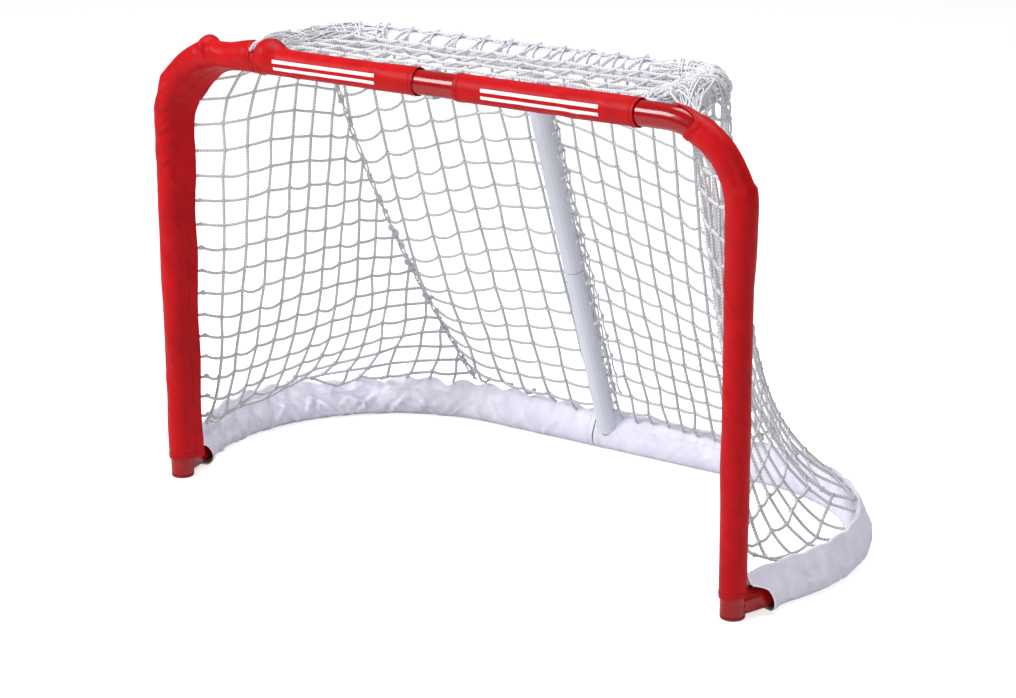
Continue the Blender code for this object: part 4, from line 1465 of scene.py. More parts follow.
@dataclass
class Panel:
    """One panel of netting, laid on a surface and then left to hang.

    Args:
        name: the node that it stands for.
        surface: where its mesh lies before it hangs, by two shares.
        lattice: the two shares where a column and a row cross.
        columns, rows: the numbers of its columns and rows.
        column_slack, row_slack: their spare length at a place.
        seed: for its small differences.
        side: the half that it is made for.
        steps: how long it settles.
        anchor: where a cord that ends on the front edge is made fast.
        tuck: the step from the lower edge into the seam that holds it.
    """

    name: str
    surface: Surface
    lattice: Callable[[float, float], tuple[float, float]]
    columns: Sequence[int]
    rows: Sequence[int]
    column_slack: Callable[[Array], float]
    row_slack: Callable[[Array], float]
    seed: int
    side: Side = Side.RIGHT
    steps: int = 170
    anchor: Optional[Callable[[Array], Array]] = None
    tuck: Optional[Array] = None
    margin: float = 0.012
    edge: float = 0.004

    def edge_knot(self, web: Web, inside: tuple[int, int], outside: tuple[int, int]) -> list[int]:
        """Makes a cord fast where it crosses the panel's edge.

        Args:
            web: the panel's web.
            inside: the crossing inside.
            outside: the next one, outside.

        Returns:
            The held points, from outside in.
        """
        a, b = (np.array(self.lattice(*cross)) for cross in (inside, outside))
        low, high = 0.0, 1.0
        for _ in range(30):
            mid = (low + high) / 2
            p = a + (b - a) * mid
            if 0 <= p[0] <= 1 and 0 <= p[1] <= 1:
                low = mid
            else:
                high = mid
        p = a + (b - a) * low
        spot = self.surface(p[0], p[1])
        if self.tuck is not None and p[1] < self.edge:
            return [web.add(spot + self.tuck, True)]
        held = web.add(spot, True)
        web.knots.add(held)
        if self.anchor is not None and p[0] < self.edge:
            return [web.add(self.anchor(spot), True), held]
        return [held]

    def build(self) -> Piece:
        """Lays the lattice, lets it hang and turns it into twine.

        Returns:
            The panel.
        """
        web = Web(self.seed)
        inside: dict[tuple[int, int], int] = {}
        for c in self.columns:
            for r in self.rows:
                u, v = self.lattice(c, r)
                if self.margin < u < 1 - self.margin and self.margin < v < 1 - self.margin:
                    jitter = web.rng.normal(0, 0.0006 + 0.0014 * (1 - v), 3)
                    inside[c, r] = web.add(self.surface(u, v) + jitter, False)
        web.knots.update(inside.values())
        tracks = [([(c, r) for r in self.rows], self.column_slack) for c in self.columns]
        tracks += [([(c, r) for c in self.columns], self.row_slack) for r in self.rows]
        for track, slack in tracks:
            found = [k for k, cross in enumerate(track) if cross in inside]
            if not found:
                continue
            ids = [inside[track[k]] for k in found]
            first, last = found[0], found[-1]
            if first > 0:
                ids = self.edge_knot(web, track[first], track[first - 1]) + ids
            if last < len(track) - 1:
                ids = ids + self.edge_knot(web, track[last], track[last + 1])[::-1]
            if len(ids) > 1:
                web.strand(ids, slack)
        place = web.settle(self.steps) * self.side.flip
        cords, marked = [], set()
        for line in web.strands:
            marks = [k in web.knots and k not in marked for k in line]
            marked.update(line)
            cords.append((place[line], marks))
        piece = twine_piece(self.name + "_twine", cords, NET_TWINE, TWINE_DRAWN / 2, 0.0036, seed=self.seed)
        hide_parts(self.name)
        return piece


def shelf_outline(angle: float, slack: float = NET_SLACK) -> Array:
    """A point of the net's upper edge round the shelf's right rear corner.

    Args:
        angle: the turn round the corner, none towards +X.
        slack: how far off the tube it lies.

    Returns:
        The point.
    """
    reach = SHELF_CORNER_RADIUS + (NET_OFFSET + slack) * REAR_OUT[1]
    x = SHELF_HALF_WIDTH - SHELF_CORNER_RADIUS + reach * cos(angle)
    y = SHELF_Y - SHELF_CORNER_RADIUS + reach * sin(angle)
    return np.array([x, y, SHELF_Z + (NET_OFFSET + slack) * REAR_OUT[2]])


def base_outline(angle: float) -> Array:
    """A point of the net's lower edge over the skirt's ridge, round the right rear corner.

    Args:
        angle: the turn round the corner, none towards +X.

    Returns:
        The point.
    """
    height = SKIRT_HEIGHT + NET_GAP
    reach = BASE_RADIUS + (NET_OFFSET - (height - BASE_Z) * REAR_OUT[2]) / REAR_OUT[1]
    return np.array([BASE_CENTRE_X + reach * cos(angle), BASE_CENTRE_Y + reach * sin(angle), height])


def seam_point(share: float) -> Array:
    """A point of the line where a side net meets the rear net, on the right side."""
    foot, head = base_outline(SEAM_FOOT_ANGLE), shelf_outline(SEAM_HEAD_ANGLE)
    return foot + (head - foot) * share - Y_AXIS * (SEAM_SAG * sin(pi * share))


def clamp(value: float, low: float, high: float) -> float:
    """The value, kept between two others."""
    return min(max(value, low), high)


@dataclass
class Net:
    """The goal's net: a square mesh of knotted twine in four panels, laced together.

    Args:
        bulge: how far the right side net, which is seen from outside, bulges inward below the shelf.
        crumple: how far it goes in and out in small waves.
        drawn: the share by which a cord is drawn short where it runs into the skirt.
        tuck: how deep the lower ends are held in the skirt's seam.
        post_cord: the radius of the cord up the back of a post's sleeve.
    """

    bulge: float = 0.026
    crumple: float = 0.007
    drawn: float = 0.30
    tuck: float = 0.0090
    post_cord: float = 0.0014

    def side_surface(self, loose: bool) -> Surface:
        """The right side panel as a surface.

        Args:
            loose: whether it bulges and crumples, as the one does that is seen from outside.

        Returns:
            The function of two shares: from post to seam, and from skirt to shelf.
        """
        low, y, reach = SKIRT_HEIGHT + NET_GAP, POST_Y + TAIL_INSET, CORNER_RADIUS - TAIL_INSET
        corner = arc(POST_X - CORNER_RADIUS, CROSSBAR_Z - CORNER_RADIUS, reach, 0, pi / 2, 16)
        post = [(POST_X - TAIL_INSET, y, low)] + [(x, y, z) for x, z in corner]
        seam = [seam_point(k / 24) for k in range(25)]
        bottom = [post[0], (POST_X + 0.07 * sin(TOE_OUT), POST_Y + 0.07 * cos(TOE_OUT), low)]
        bottom += [base_outline(-TOE_OUT + (SEAM_FOOT_ANGLE + TOE_OUT) * k / 16) for k in range(17)]
        top = [post[-1], (SHELF_HALF_WIDTH + NET_OFFSET + NET_SLACK, POST_Y + SHELF_DEPTH * 0.35, SHELF_Z)]
        top += [shelf_outline(0.0), seam[-1]]
        below, above, front, back = (Line(np.array(line, float)) for line in (bottom, top, post, seam))
        rise = SHELF_Z - SKIRT_HEIGHT

        def surface(u: float, v: float) -> Array:
            """The point at these shares.

            Args:
                u: the first share.
                v: the second share.

            Returns:
                The point.
            """
            foot, point, head = (front.share(h) * (1 - u) + back.share(h) * u for h in (0.0, v, 1.0))
            point = point + (below.share(u) - foot) * np.exp(-v * rise / NET_FLARE)
            point = point + (above.share(u) - head) * np.exp((v - 1) * rise / NET_FLARE)
            sag = NET_SAG * np.sin(pi * u) * np.sin(pi * v)
            if loose:
                sag = sag + self.bulge * np.sin(pi * u) * bell(v - 0.72, 0.26)
                sag = sag + self.crumple * np.sin(23 * u + 9 * v) * np.sin(31 * v + 3) * np.sin(pi * u)
            return point - X_AXIS * sag

        return surface

    def side_lattice(self, loose: bool) -> Callable[[float, float], tuple[float, float]]:
        """Gives the function of where a side panel's column from the post and row from the top cross.

        Args:
            loose: whether it is the loose panel, whose columns stand wider.

        Returns:
            The function of column and row.
        """

        def cross(column: float, row: float) -> tuple[float, float]:
            """The two shares, past 0 or 1 where they don't cross on the panel.

            Args:
                column: its number from the post.
                row: its number from the top.

            Returns:
                The shares.
            """
            u, v = 0.4, 0.5
            for _ in range(40):
                u = column / (15.0 - (6.4 if loose else 10.3) * clamp(v, -0.1, 1.0))
                inner = clamp(u, 0.0, 1.0)
                share = (row + 0.35 - 0.4 * sin(pi * inner)) / (17.3 + 1.6 * inner)
                v = 1 - share * (1.17 - 0.17 * share)
            return u, v

        return cross

    def rear_surface(self) -> Surface:
        """The rear panel as a surface of two shares: from the left seam to the right one, and upward.

        Returns:
            The function.
        """
        high = [seam_point(1)]
        for k in range(1, 7):
            turn = SEAM_HEAD_ANGLE + (pi / 2 - SEAM_HEAD_ANGLE) * k / 6
            high.append(shelf_outline(turn, NET_SLACK * (1 - k / 6)))
        below, above = (
            Line(np.array([p * Side.LEFT.flip for p in half] + half[::-1]))
            for half in ([seam_point(0), base_outline(pi / 2)], high)
        )

        def surface(u: float, v: float) -> Array:
            """The point at these shares."""
            point = below.share(u) * (1 - v) + above.share(u) * v
            return point - Y_AXIS * (SEAM_SAG * np.sin(pi * v) * (2 * u - 1) ** 2)

        return surface

    def rear_lattice(self, column: float, row: float) -> tuple[float, float]:
        """Where the rear panel's column and row cross.

        Args:
            column: the column's number from the strut.
            row: the row's number from the top.

        Returns:
            The two shares, past 0 or 1 where they don't cross on the panel.
        """
        x, v = 0.0, 0.5
        for _ in range(40):
            level = clamp(v, -0.1, 1.0)
            x = 0.012 + column / (10.2 if column > 0 else 6.6 + 1.8 * level)
            off = min(abs(x), 1.1)
            drop = 2.9 * off**1.2 if x > 0 else 2.3 * off**1.9
            ease = clamp(level / 0.45, 0.0, 1.0)
            drop = drop * (0.15 + 0.85 * ease * ease * (3 - 2 * ease))
            share = (0.98 * (row + 0.55) + drop) / (17.2 + 0.6 * off**2)
            v = 1 - share * (1.08 - 0.08 * share)
        return (x + 1) / 2, v

    def top_surface(self) -> Surface:
        """The top panel as a surface of two shares: across, and from the crossbar to the shelf's rear.

        Returns:
            The function.
        """
        z = SHELF_Z + NET_OFFSET
        front = POST_Y + math.sqrt((SLEEVE_R + NET_GAP) ** 2 - (z - CROSSBAR_Z) ** 2)

        def surface(u: float, v: float) -> Array:
            """The point at these shares.

            Args:
                u: the first share.
                v: the second share.

            Returns:
                The point.
            """
            x = SHELF_HALF_WIDTH * (2 * u - 1)
            past = max(abs(x) - (SHELF_HALF_WIDTH - SHELF_CORNER_RADIUS), 0)
            lost = SHELF_CORNER_RADIUS - np.sqrt(max(SHELF_CORNER_RADIUS**2 - past**2, 0))
            return np.array([x, front + (SHELF_Y - lost - front) * v, z])

        return surface

    def anchor(self, spot: Array) -> Array:
        """The place on the back of the post's sleeve where a cord from its closing edge is made fast.

        Args:
            spot: where the cord leaves the closing edge.

        Returns:
            The place.
        """
        out, centre_x, centre_z = X_AXIS, POST_X - CORNER_RADIUS, CROSSBAR_Z - CORNER_RADIUS
        if spot[2] > centre_z:
            out = unit(np.array([spot[0] - centre_x, 0.0, spot[2] - centre_z]))
        return spot + out * (TAIL_INSET - 0.006) + np.array([0.0, SLEEVE_R + 0.0016 - TAIL_INSET, 0.0])

    def post_lacing(self, side: Side, spots: list[Array]) -> Piece:
        """Makes the cord up the back of a post's sleeve that the net's rows are knotted to.

        Args:
            side: which post.
            spots: where the rows end on the right side's sleeve.

        Returns:
            The piece.
        """
        along = np.array(sorted(spots, key=lambda p: p[2] - p[0])) + np.array([0.0, 0.0012, 0.0])
        line = []
        for one, other in zip(along[:-1], along[1:]):
            for share in (k / 6 for k in range(6)):
                bow = np.array([0.0022, 0.0006, 0.0]) * sin(pi * share)
                line.append((one * (1 - share) + other * share + bow) * side.flip)
        cord = (np.array(line), [k % 6 == 0 for k in range(len(line))])
        return twine_piece(f"{side.word}_post_lacing_cord", [cord], LACE, self.post_cord, 0.0038, seed=51)

    def spare(self, place: Array, least: float, share: float, power: float, above: float) -> float:
        """The spare share of a cord's length at a place.

        Args:
            place: the place.
            least: how much there is at the net's top.
            share: how much more there is at the floor.
            power: how fast that gives way.
            above: how far above the skirt the cord is drawn short.

        Returns:
            The share.
        """
        drawn = self.drawn if place[2] < SKIRT_HEIGHT + above else 0.0
        return least + share * (1 - place[2] / HEIGHT) ** power - drawn

    def column_spare(self, place: Array) -> float:
        """The spare share of a column's cord."""
        return self.spare(place, 0.0, 0.010, 2, 0.020)

    def row_spare(self, place: Array) -> float:
        """The spare share of a row's cord."""
        return self.spare(place, 0.002, 0.034, 1.6, 0.008)

    def build(self) -> list[Piece]:
        """Makes the four panels and the cords at the posts.

        Returns:
            The pieces.
        """
        into_skirt = Z_AXIS * -self.tuck
        made = []
        for side, seed in zip(Side, (11, 12)):
            loose, spots = side is Side.RIGHT, []

            def anchor(spot: Array) -> Array:
                """The anchor's place, which is also noted down."""
                spots.append(self.anchor(spot))
                return spots[-1]

            panel = Panel(
                f"{side.word}_side_net", self.side_surface(loose), self.side_lattice(loose), range(0, 17),
                range(-1, 22), self.column_spare, self.row_spare, seed, side, anchor=anchor, tuck=into_skirt,
            )
            made += [panel.build(), self.post_lacing(side, spots)]
        rear = Panel(
            "rear_net", self.rear_surface(), self.rear_lattice, range(-10, 13), range(-3, 21),
            self.column_spare, self.row_spare, 13, tuck=into_skirt,
        )
        top = Panel(
            "top_net", self.top_surface(), lambda c, r: (c / 16.0 + 0.5, (r + 0.6) / 5.4), range(-9, 10),
            range(-1, 7), lambda p: 0.02, lambda p: 0.03, 14, steps=60,
        )
        return made + [rear.build(), top.build()]


# Lacings


@dataclass(frozen=True)
class Gather:
    """How much spare netting lies round a corner of the shelf.

    Args:
        seed: for where each strand lies.
        count: how many long strands there are.
        reach: how far they go along the rear bar.
        depth: how deep they lie on each other.
        band: the same for the short strands across them.
        slanting: how many strands slant to the crossbar's sleeve.
    """

    seed: int
    count: int
    reach: float
    depth: float
    band: float
    slanting: int


GATHERS = {
    Side.LEFT: Gather(61, 44, 0.08, 0.0045, 0.003, 0),
    Side.RIGHT: Gather(62, 150, 0.10, 0.0080, 0.005, 34),
}


@dataclass
class Lacings:
    """The cords that lace the net's panels to each other, to the strut and to the shelf."""

    cord: float = 0.0025
    tie_pitch: float = 0.0405
    strut_pitch: float = 0.0325
    # How far behind the posts the shelf's arms start, and how far along them its ties do
    arm_start: float = 0.020
    tie_start: float = 0.150
    # Where the four strings lead from the knot over the notch
    notch_strings: tuple[tuple[float, float, float], ...] = (
        (-0.024, 0.040, -0.004), (-0.019, 0.062, -0.003), (-0.026, 0.085, -0.003), (-0.016, 0.050, -0.005),
    )

    def corner_lacing(self, side: Side) -> Piece:
        """Makes the two twisted cords where a side net meets the rear net.

        Args:
            side: which corner.

        Returns:
            The piece.
        """
        last, twist = 160, 0.42
        steps = range(last + 1)
        cords = []
        for phase, pitch, first in ((0.0, 8, 3), (pi, 16, 9)):
            swing = [0.0024 * np.array([cos(k * twist + phase), sin(k * twist + phase), 0.0]) for k in steps]
            line = np.array([(seam_point(k / last) + swing[k]) * side.flip for k in steps])
            cords.append((line, [k % pitch == first for k in steps]))
        piece = twine_piece(f"{side.word}_corner_lacing_cord", cords, LACE, self.cord * 0.52, 0.0050)
        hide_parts(f"{side.word}_corner_lacing")
        return piece

    def strut_lacing(self) -> Piece:
        """Makes the cord that ties the rear net to the strut.

        Returns:
            The piece.
        """
        start = BACK_R + SKIRT_HEIGHT + 0.006
        length = float(np.linalg.norm(STRUT_HEAD - STRUT_FOOT)) - 0.040 - start
        beside = BACK_R + CLEARANCE + self.cord / 2
        turns = int(round(length / self.strut_pitch))
        per_turn, around = 6, 24

        def spot(share: float, angle: float, away: float) -> Array:
            """A point beside the strut at a share of the lacing's length."""
            out = STRUT_ACROSS * cos(angle) + REAR_OUT * sin(angle)
            return STRUT_FOOT + STRUT_UP * (start + length * share) + out * away

        cords = []
        for reach, phase, first in ((0.0050, 0.0, 3), (0.0100, 2.0, 0)):
            edge = []
            for k in range(turns * per_turn + 1):
                share = k / (turns * per_turn)
                away = beside + reach * (1.25 - share) + 0.0010 * sin(k * 1.05 + phase)
                edge.append(spot(share, 0.25, away))
            cords.append((np.array(edge), [k % per_turn == first for k in range(len(edge))]))
        for share in (t / turns for t in range(turns + 1)):
            loop = []
            for k in range(around + 1):
                away = beside + 0.0110 * (1.25 - share) * math.exp(-((k / 3.0) ** 2))
                climb = STRUT_UP * 0.006 * (k / around - 0.5)
                loop.append(spot(share, -0.35 + (pi + 0.6) * k / around, away) + climb)
            cords.append((np.array(loop), [k == 0 for k in range(around + 1)]))
        piece = twine_piece("strut_lacing_cord", cords, LACE, self.cord / 2 * 0.9)
        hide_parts("strut_lacing")
        return piece

    def shelf_route(self) -> Route:
        """The shelf tube's line, from the left arm round the rear bar to the right arm, flat towards +Z.

        Returns:
            The route.
        """
        x, y = SHELF_HALF_WIDTH - SHELF_CORNER_RADIUS, SHELF_Y - SHELF_CORNER_RADIUS
        half = [(SHELF_HALF_WIDTH, POST_Y + self.arm_start), *arc(x, y, SHELF_CORNER_RADIUS, 0, pi / 2, 24)]
        line = [(-x, y, SHELF_Z) for x, y in half] + [(x, y, SHELF_Z) for x, y in half[::-1]]
        return Route(np.array(line), Z_AXIS)

    def shelf_lacing(self) -> Piece:
        """Makes the cord that lashes the net to the shelf's rear bar.

        At each tie it goes once round the bar and then slants over its front to the next tie.

        Returns:
            The piece.
        """
        route = self.shelf_route()
        rng = np.random.default_rng(44)
        near = BACK_R + CLEARANCE + 0.0011
        ties = np.arange(self.tie_start, route.length - self.tie_start, self.tie_pitch)
        turns = np.linspace(0, 2 * pi, 22)
        wrap = near + 0.0012 * np.exp(-((turns - 0.2) ** 2) / 0.1)
        line = []
        for one, other in zip(ties[1:][::-1], ties[:-1][::-1]):
            one, other = one + rng.uniform(-0.002, 0.002), other + rng.uniform(-0.002, 0.002)
            line.append(route.around(one + 0 * turns, turns, wrap))
            on = turns[1:]
            run = one + (other - one) * np.clip(on / pi, 0, 1)
            line.append(route.around(run, on, near + 0.0008 + 0 * on))
        cord = np.concatenate(line)
        cords = [(cord, [False] * len(cord))]
        run = np.linspace(ties[0] - 0.02, ties[-1] + 0.02, 260)
        spots = {int(np.argmin(np.abs(run - tie))) for tie in ties}
        for phase, turn in ((0.0, -0.12), (1.9, 0.10)):
            sag = 0.0011 * np.cos((run - ties[0]) / self.tie_pitch * 2 * pi)
            sag = sag + 0.0006 * np.sin(run * 310 + phase)
            line = route.around(run, turn + 0.10 * np.sin(run * 77 + phase), near + 0.0020 + sag)
            cords.append((line, [k in spots for k in range(len(run))]))
        lower = route.around(run, 2.05 + 0.06 * np.sin(run * 90), near + 0.0012 + 0.0008 * np.sin(run * 155))
        cords.append((lower, [k % 26 == 7 for k in range(len(run))]))
        return twine_piece("shelf_lacing_cord", cords, LACE, 0.0013, seed=8)

    def notch_ties(self) -> Piece:
        """Makes the white cord that draws the left sleeves' ends in where they meet on the crossbar.

        Returns:
            The piece.
        """
        points, knots = 36, (0, 14)
        cords = []
        for shift, first in ((0.0, -0.75), (0.0026, -0.30), (0.0050, -0.60)):
            turns = np.linspace(first, 3.0, points)
            x = -0.2745 + shift + 0.0008 * np.sin(3 * turns + 900 * shift)
            reach = SLEEVE_R + 0.0020 + 0.0050 * bell(turns, 0.9) + 0.0005 * np.sin(turns * 2.5)
            loop = np.stack([x, POST_Y + reach * np.sin(turns), CROSSBAR_Z + reach * np.cos(turns)], -1)
            cords.append((loop, [k in knots for k in range(points)]))
        top = np.array([-0.271, POST_Y, CROSSBAR_Z + SLEEVE_R + 0.007])
        points = 20
        share = np.linspace(0, 1, points)[:, None]
        rng = np.random.default_rng(5)
        for string in self.notch_strings:
            bow = np.array([rng.uniform(-0.006, 0.006), 0.0, rng.uniform(0.001, 0.005)])
            line = top + np.array(string) * share + bow * np.sin(pi * share)
            cords.append((line, [k == points - 1 for k in range(points)]))
        return twine_piece("crossbar_notch_ties", cords, LACE, 0.0016, 0.0038, seed=15)

    def gathers(self, side: Side) -> Piece:
        """Makes the spare netting that is gathered round a corner of the shelf.

        Args:
            side: which corner.

        Returns:
            The piece.
        """
        left = side is Side.LEFT
        route = self.shelf_route()
        heap = GATHERS[side]
        rng = np.random.default_rng(heap.seed)
        corner = SHELF_DEPTH - self.arm_start - SHELF_CORNER_RADIUS + pi / 4 * SHELF_CORNER_RADIUS
        middle, inward = (corner, 1) if left else (route.length - corner, -1)
        cords = []
        # Long strands over the corner, from the arm to the rear bar
        points = 46
        share = np.linspace(0, 1, points)
        for k in range(heap.count):
            arm, bar = rng.uniform(0.115, 0.171), rng.uniform(0.02, heap.reach)
            run = middle - inward * arm + inward * (arm + bar) * share
            layer = rng.uniform(0.0, 1.0) ** 0.7
            thick = (0.0010 + heap.depth * layer) * np.sin(pi * np.clip(share, 0.04, 0.96)) ** 0.5
            turn = rng.uniform(-1.5, 2.9) + rng.uniform(-0.5, 0.5) * share
            thick = thick * (0.35 + 0.65 * np.clip(0.4 + np.sin(turn), 0, 1))
            turn = turn + 0.10 * np.sin(share * rng.uniform(9, 22) + rng.uniform(0, 6))
            reach = BACK_R + 0.0016 + thick + 0.0009 * np.sin(share * rng.uniform(14, 34) + rng.uniform(0, 6))
            line = route.around(run, turn, np.maximum(reach, BACK_R + 0.0014))
            cords.append((line, [(j + 3 * k) % 15 == 4 for j in range(points)]))
        # Short ones across them
        points = 26
        steps = np.arange(points)
        for k in range(heap.count // 4):
            spot = middle + inward * rng.uniform(-0.14, 0.07)
            run = spot + np.linspace(-0.5, 0.5, points) * rng.uniform(0.010, 0.040)
            turn = np.linspace(-1.9, 1.9, points) + rng.uniform(-0.5, 0.5)
            reach = BACK_R + 0.003 + heap.band * rng.uniform(0.3, 1.0) + 0.001 * np.sin(steps * 0.9)
            cords.append((route.around(run, turn, reach), [j % 9 == 4 for j in steps]))
        # Strands that slant from the right corner to the end of the crossbar's sleeve
        points = 30
        share = np.linspace(0, 1, points)[:, None]
        spans = ((-0.010, 0.004), (-0.004, 0.008), (-0.004, 0.010))
        for k in range(heap.slanting):
            x, y = 0.366 + rng.uniform(-0.012, 0.006), POST_Y + rng.uniform(0.010, 0.018)
            run, turn = np.array([middle + rng.uniform(-0.02, 0.13)]), np.array([rng.uniform(-0.6, 1.4)])
            head = route.around(run, turn, np.array([BACK_R + 0.004]))[0]
            bow = np.array([rng.uniform(*span) for span in spans])
            line = np.array([x, y, CROSSBAR_Z + 0.004]) * (1 - share) + head * share
            line = line + bow * np.sin(pi * share)
            cords.append((line, [(j + 5 * k) % 13 == 6 for j in range(points)]))
        name = f"{side.word}_gathered_netting"
        return twine_piece(name, cords, SPARE_TWINE, 0.0012, 0.0026, 5, 21 + side.value)

    def build(self) -> list[Piece]:
        """Makes all the lacings and the gathered netting."""
        made = [self.corner_lacing(side) for side in Side] + [self.strut_lacing(), self.shelf_lacing()]
        return made + [self.notch_ties()] + [self.gathers(side) for side in Side]


# Tubes, studio and main


@dataclass
class FrontTubes:
    """The two bent halves of the front frame, with a fine round section and the crossbar button's hole."""

    wall: float = 0.0012
    foot_z: float = 0.0043
    hole_x: float = 0.007
    hole_radius: float = 0.0044
    sides: int = 48
    bevel: float = 0.0007

    def tube(self, name: str, route: Route) -> bpy.types.Mesh:
        """Makes a hollow tube with bevelled ends along a route.

        Args:
            name: the mesh's name.
            route: its centre line.

        Returns:
            The closed mesh, with its faces outward.
        """
        inner, last = FRONT_R - self.wall, route.length - self.bevel
        runs = np.clip(np.unique(np.concatenate([[self.bevel, last], route.runs[1:-1]])), self.bevel, last)
        lip, end = FRONT_R - self.bevel, route.length
        rings = [(0.0, lip)] + [(r, FRONT_R) for r in runs] + [(end, lip)]
        rings += [(end, inner)] + [(r, inner) for r in runs[::-1]] + [(0.0, inner)]
        turns = 2 * pi * np.arange(self.sides) / self.sides
        points = np.concatenate([route.around(r + 0 * turns, turns, reach + 0 * turns) for r, reach in rings])
        faces = []
        for r in range(len(rings)):
            below, above = r * self.sides, (r + 1) % len(rings) * self.sides
            for k in range(self.sides):
                n = (k + 1) % self.sides
                faces.append((below + k, below + n, above + n, above + k))
        mesh = mesh_from(name, points, faces)
        bm = bmesh.new()
        bm.from_mesh(mesh)
        bmesh.ops.recalc_face_normals(bm, faces=bm.faces)
        bm.to_mesh(mesh)
        bm.free()
        return mesh

    def drill(self, piece: Piece) -> None:
        """Cuts the hole that the crossbar's button comes through.

        Args:
            piece: the tube.
        """
        bm = bmesh.new()
        radius = self.hole_radius
        bmesh.ops.create_cone(bm, cap_ends=True, segments=28, radius1=radius, radius2=radius, depth=0.012)
        bmesh.ops.translate(bm, verts=bm.verts, vec=(self.hole_x, POST_Y, CROSSBAR_Z - FRONT_R))
        tool = linked("button_hole", bpy.data.meshes.new("button_hole"))
        bm.to_mesh(tool.data)
        bm.free()
        cut = piece.modifiers.new("button_hole", "BOOLEAN")
        cut.object, cut.operation, cut.solver = tool, "DIFFERENCE", "EXACT"
        plain, piece.data = piece.data, evaluated(piece)
        piece.modifiers.clear()
        for mesh in (plain, tool.data):
            bpy.data.meshes.remove(mesh)

    def build(self) -> list[Piece]:
        """Makes both halves.

        Returns:
            The pieces.
        """
        made = []
        for side in Side:
            route = front_route(side, CROSSBAR_SEAM_X * side.value + 0.0001, self.foot_z)
            mesh = self.tube(f"{side.word}_front_tube_mesh", route)
            piece = new_piece(f"{side.word}_front_tube_round", mesh, RED_STEEL)
            if side is Side.RIGHT:
                self.drill(piece)
            piece.modifiers.new("crisp_ends", "EDGE_SPLIT").split_angle = radians(35)
            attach(piece, BODY)
            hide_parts(f"{side.word}_front_tube")
            made.append(piece)
        return made


@dataclass
class Hardware:
    """The painted tubes, caps, spigots and snap buttons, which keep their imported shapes."""

    # The finish for each ending of a node's name; the first that fits counts
    finishes: tuple[tuple[str, Finish], ...] = (
        ("foot_socket", RED_STEEL), ("foot_cap", RED_CAP), ("base_tube", WHITE_STEEL),
        ("shelf_tube", WHITE_STEEL), ("strut_upper_tube", GREY_STEEL), ("strut_lower_tube", GREY_STEEL),
        ("spigot", PLATED), ("button_spring", SPRING), ("button", PLATED),
    )

    def dress(self) -> int:
        """Gives each of their nodes its finish.

        Returns:
            How many nodes were dressed.
        """
        count = 0
        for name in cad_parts:
            finish = next((finish for word, finish in self.finishes if name.endswith(word)), None)
            if finish is not None:
                node = bpy.data.objects[name]
                if not node.material_slots:
                    node.data.materials.append(finish.material())
                for slot in node.material_slots:
                    slot.material = finish.material()
                count += 1
        return count


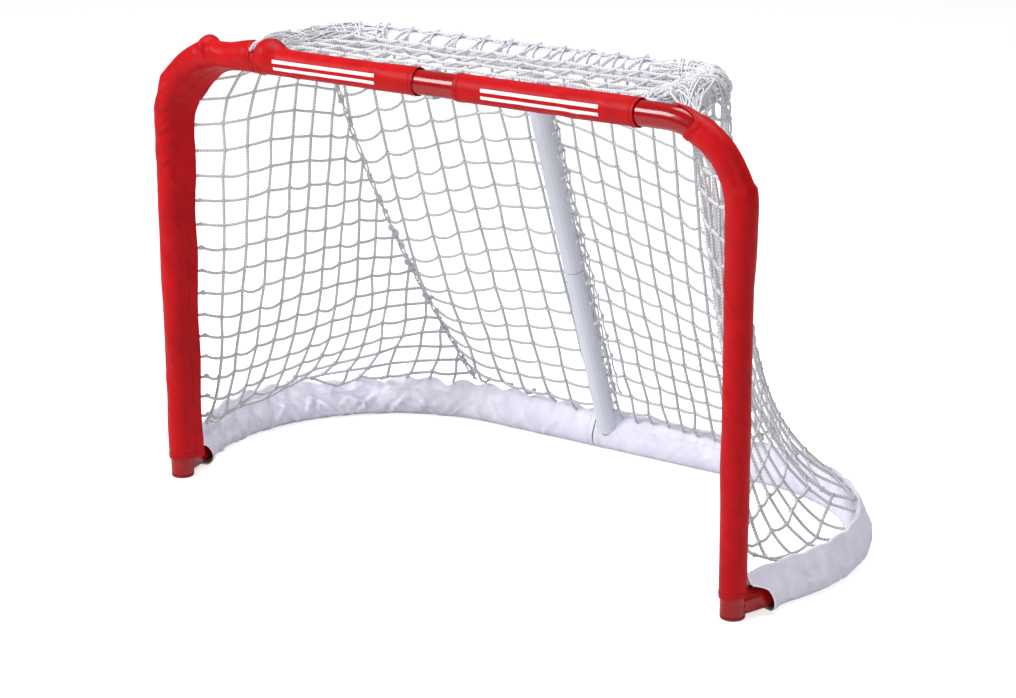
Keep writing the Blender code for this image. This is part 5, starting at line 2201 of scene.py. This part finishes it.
@dataclass
class Studio:
    """Camera, floor and lamps. The camera stands where the photograph's did."""

    place: tuple[float, float, float] = (1.945, -2.744, 1.234)
    azimuth: float = 35.905
    elevation: float = 17.041
    roll: float = -0.396
    lens: float = 94.685
    key: float = 112.0
    fill: float = 22.0
    top: float = 54.0
    sky: float = 0.22
    glow: float = 0.66

    def camera(self) -> None:
        """Makes the scene's camera."""
        data = bpy.data.cameras.new("photo_camera")
        data.lens, data.sensor_width, data.clip_end = self.lens, 36.0, 50
        az, el, roll = (radians(a) for a in (self.azimuth, self.elevation, self.roll))
        right = Vector((cos(az), sin(az), 0))
        back = Vector((sin(az) * cos(el), -cos(az) * cos(el), sin(el)))
        up = back.cross(right)
        axes = (right * cos(roll) + up * sin(roll), up * cos(roll) - right * sin(roll), back)
        camera = linked("photo_camera", data)
        camera.matrix_world = Matrix.Translation(self.place) @ Matrix(axes).transposed().to_4x4()
        bpy.context.scene.camera = camera

    def lamp(self, name: str, place: Sequence[float], size: float, power: float) -> None:
        """Adds one square soft lamp that points at the goal's middle.

        Args:
            name: its name.
            place: where it stands.
            size: its side.
            power: its watts.
        """
        data = bpy.data.lights.new(name, "AREA")
        data.size, data.energy = size, power
        lamp = linked(name, data)
        lamp.location = place
        lamp.rotation_mode = "QUATERNION"
        lamp.rotation_quaternion = (Vector((0, 0, 0.3)) - Vector(place)).to_track_quat("-Z", "Y")

    def floor(self) -> None:
        """Makes the white paper floor, which glows a little where the camera sees it."""
        mesh = mesh_from("floor", [(-6, -6, 0), (6, -6, 0), (6, 6, 0), (-6, 6, 0)], [(0, 1, 2, 3)])
        floor = linked("floor", mesh)
        floor.location.z = -0.0002
        material = bpy.data.materials.new("white_paper_floor")
        material.use_nodes = True
        add = adder(material.node_tree)
        paper = add("BsdfDiffuse", Color=(0.82, 0.82, 0.83, 1))
        both = add("AddShader", {0: paper, 1: add("Emission", Color=(1, 1, 1, 1), Strength=self.glow)})
        seen = add("LightPath").outputs["Is Camera Ray"]
        add("OutputMaterial", Surface=add("MixShader", {0: seen, 1: paper, 2: both}))
        mesh.materials.append(material)

    def build(self) -> None:
        """Makes the camera, the world, the floor and the lamps."""
        self.camera()
        bpy.context.scene.view_settings.view_transform = "Standard"
        world = bpy.data.worlds.new("studio")
        bpy.context.scene.world = world
        world.use_nodes = True
        add = adder(world.node_tree)
        path = add("LightPath").outputs
        seen = add("Math", {"operation": "MAXIMUM", 0: path["Is Camera Ray"], 1: path["Is Transmission Ray"]})
        strength = add("MapRange", Value=seen, To_Min=self.sky, To_Max=1.0)
        add("OutputWorld", Surface=add("Background", Color=(1, 1, 1, 1), Strength=strength))
        self.floor()
        self.lamp("key_softbox", (-1.7, -2.6, 2.4), 1.4, self.key)
        self.lamp("fill_softbox", (2.6, -1.8, 1.6), 1.8, self.fill)
        self.lamp("top_softbox", (0.2, 0.6, 3.0), 1.6, self.top)


def main() -> None:
    """Builds the goal's pieces in order and reports each."""
    logging.basicConfig(level=logging.INFO, format="%(name)s: %(message)s")
    Studio().build()
    log.info("studio: camera, floor, world and lamps")
    log.info("hardware: %d nodes dressed", Hardware().dress())
    parts = {"tube": FrontTubes(), "sleeve": Sleeves(), "skirt": Skirts(), "net": Net(), "lacing": Lacings()}
    for word, part in parts.items():
        for piece in part.build():
            log.info("%s %s: %d faces", word, piece.name, len(piece.data.polygons))


if __name__ == "__main__":
    main()
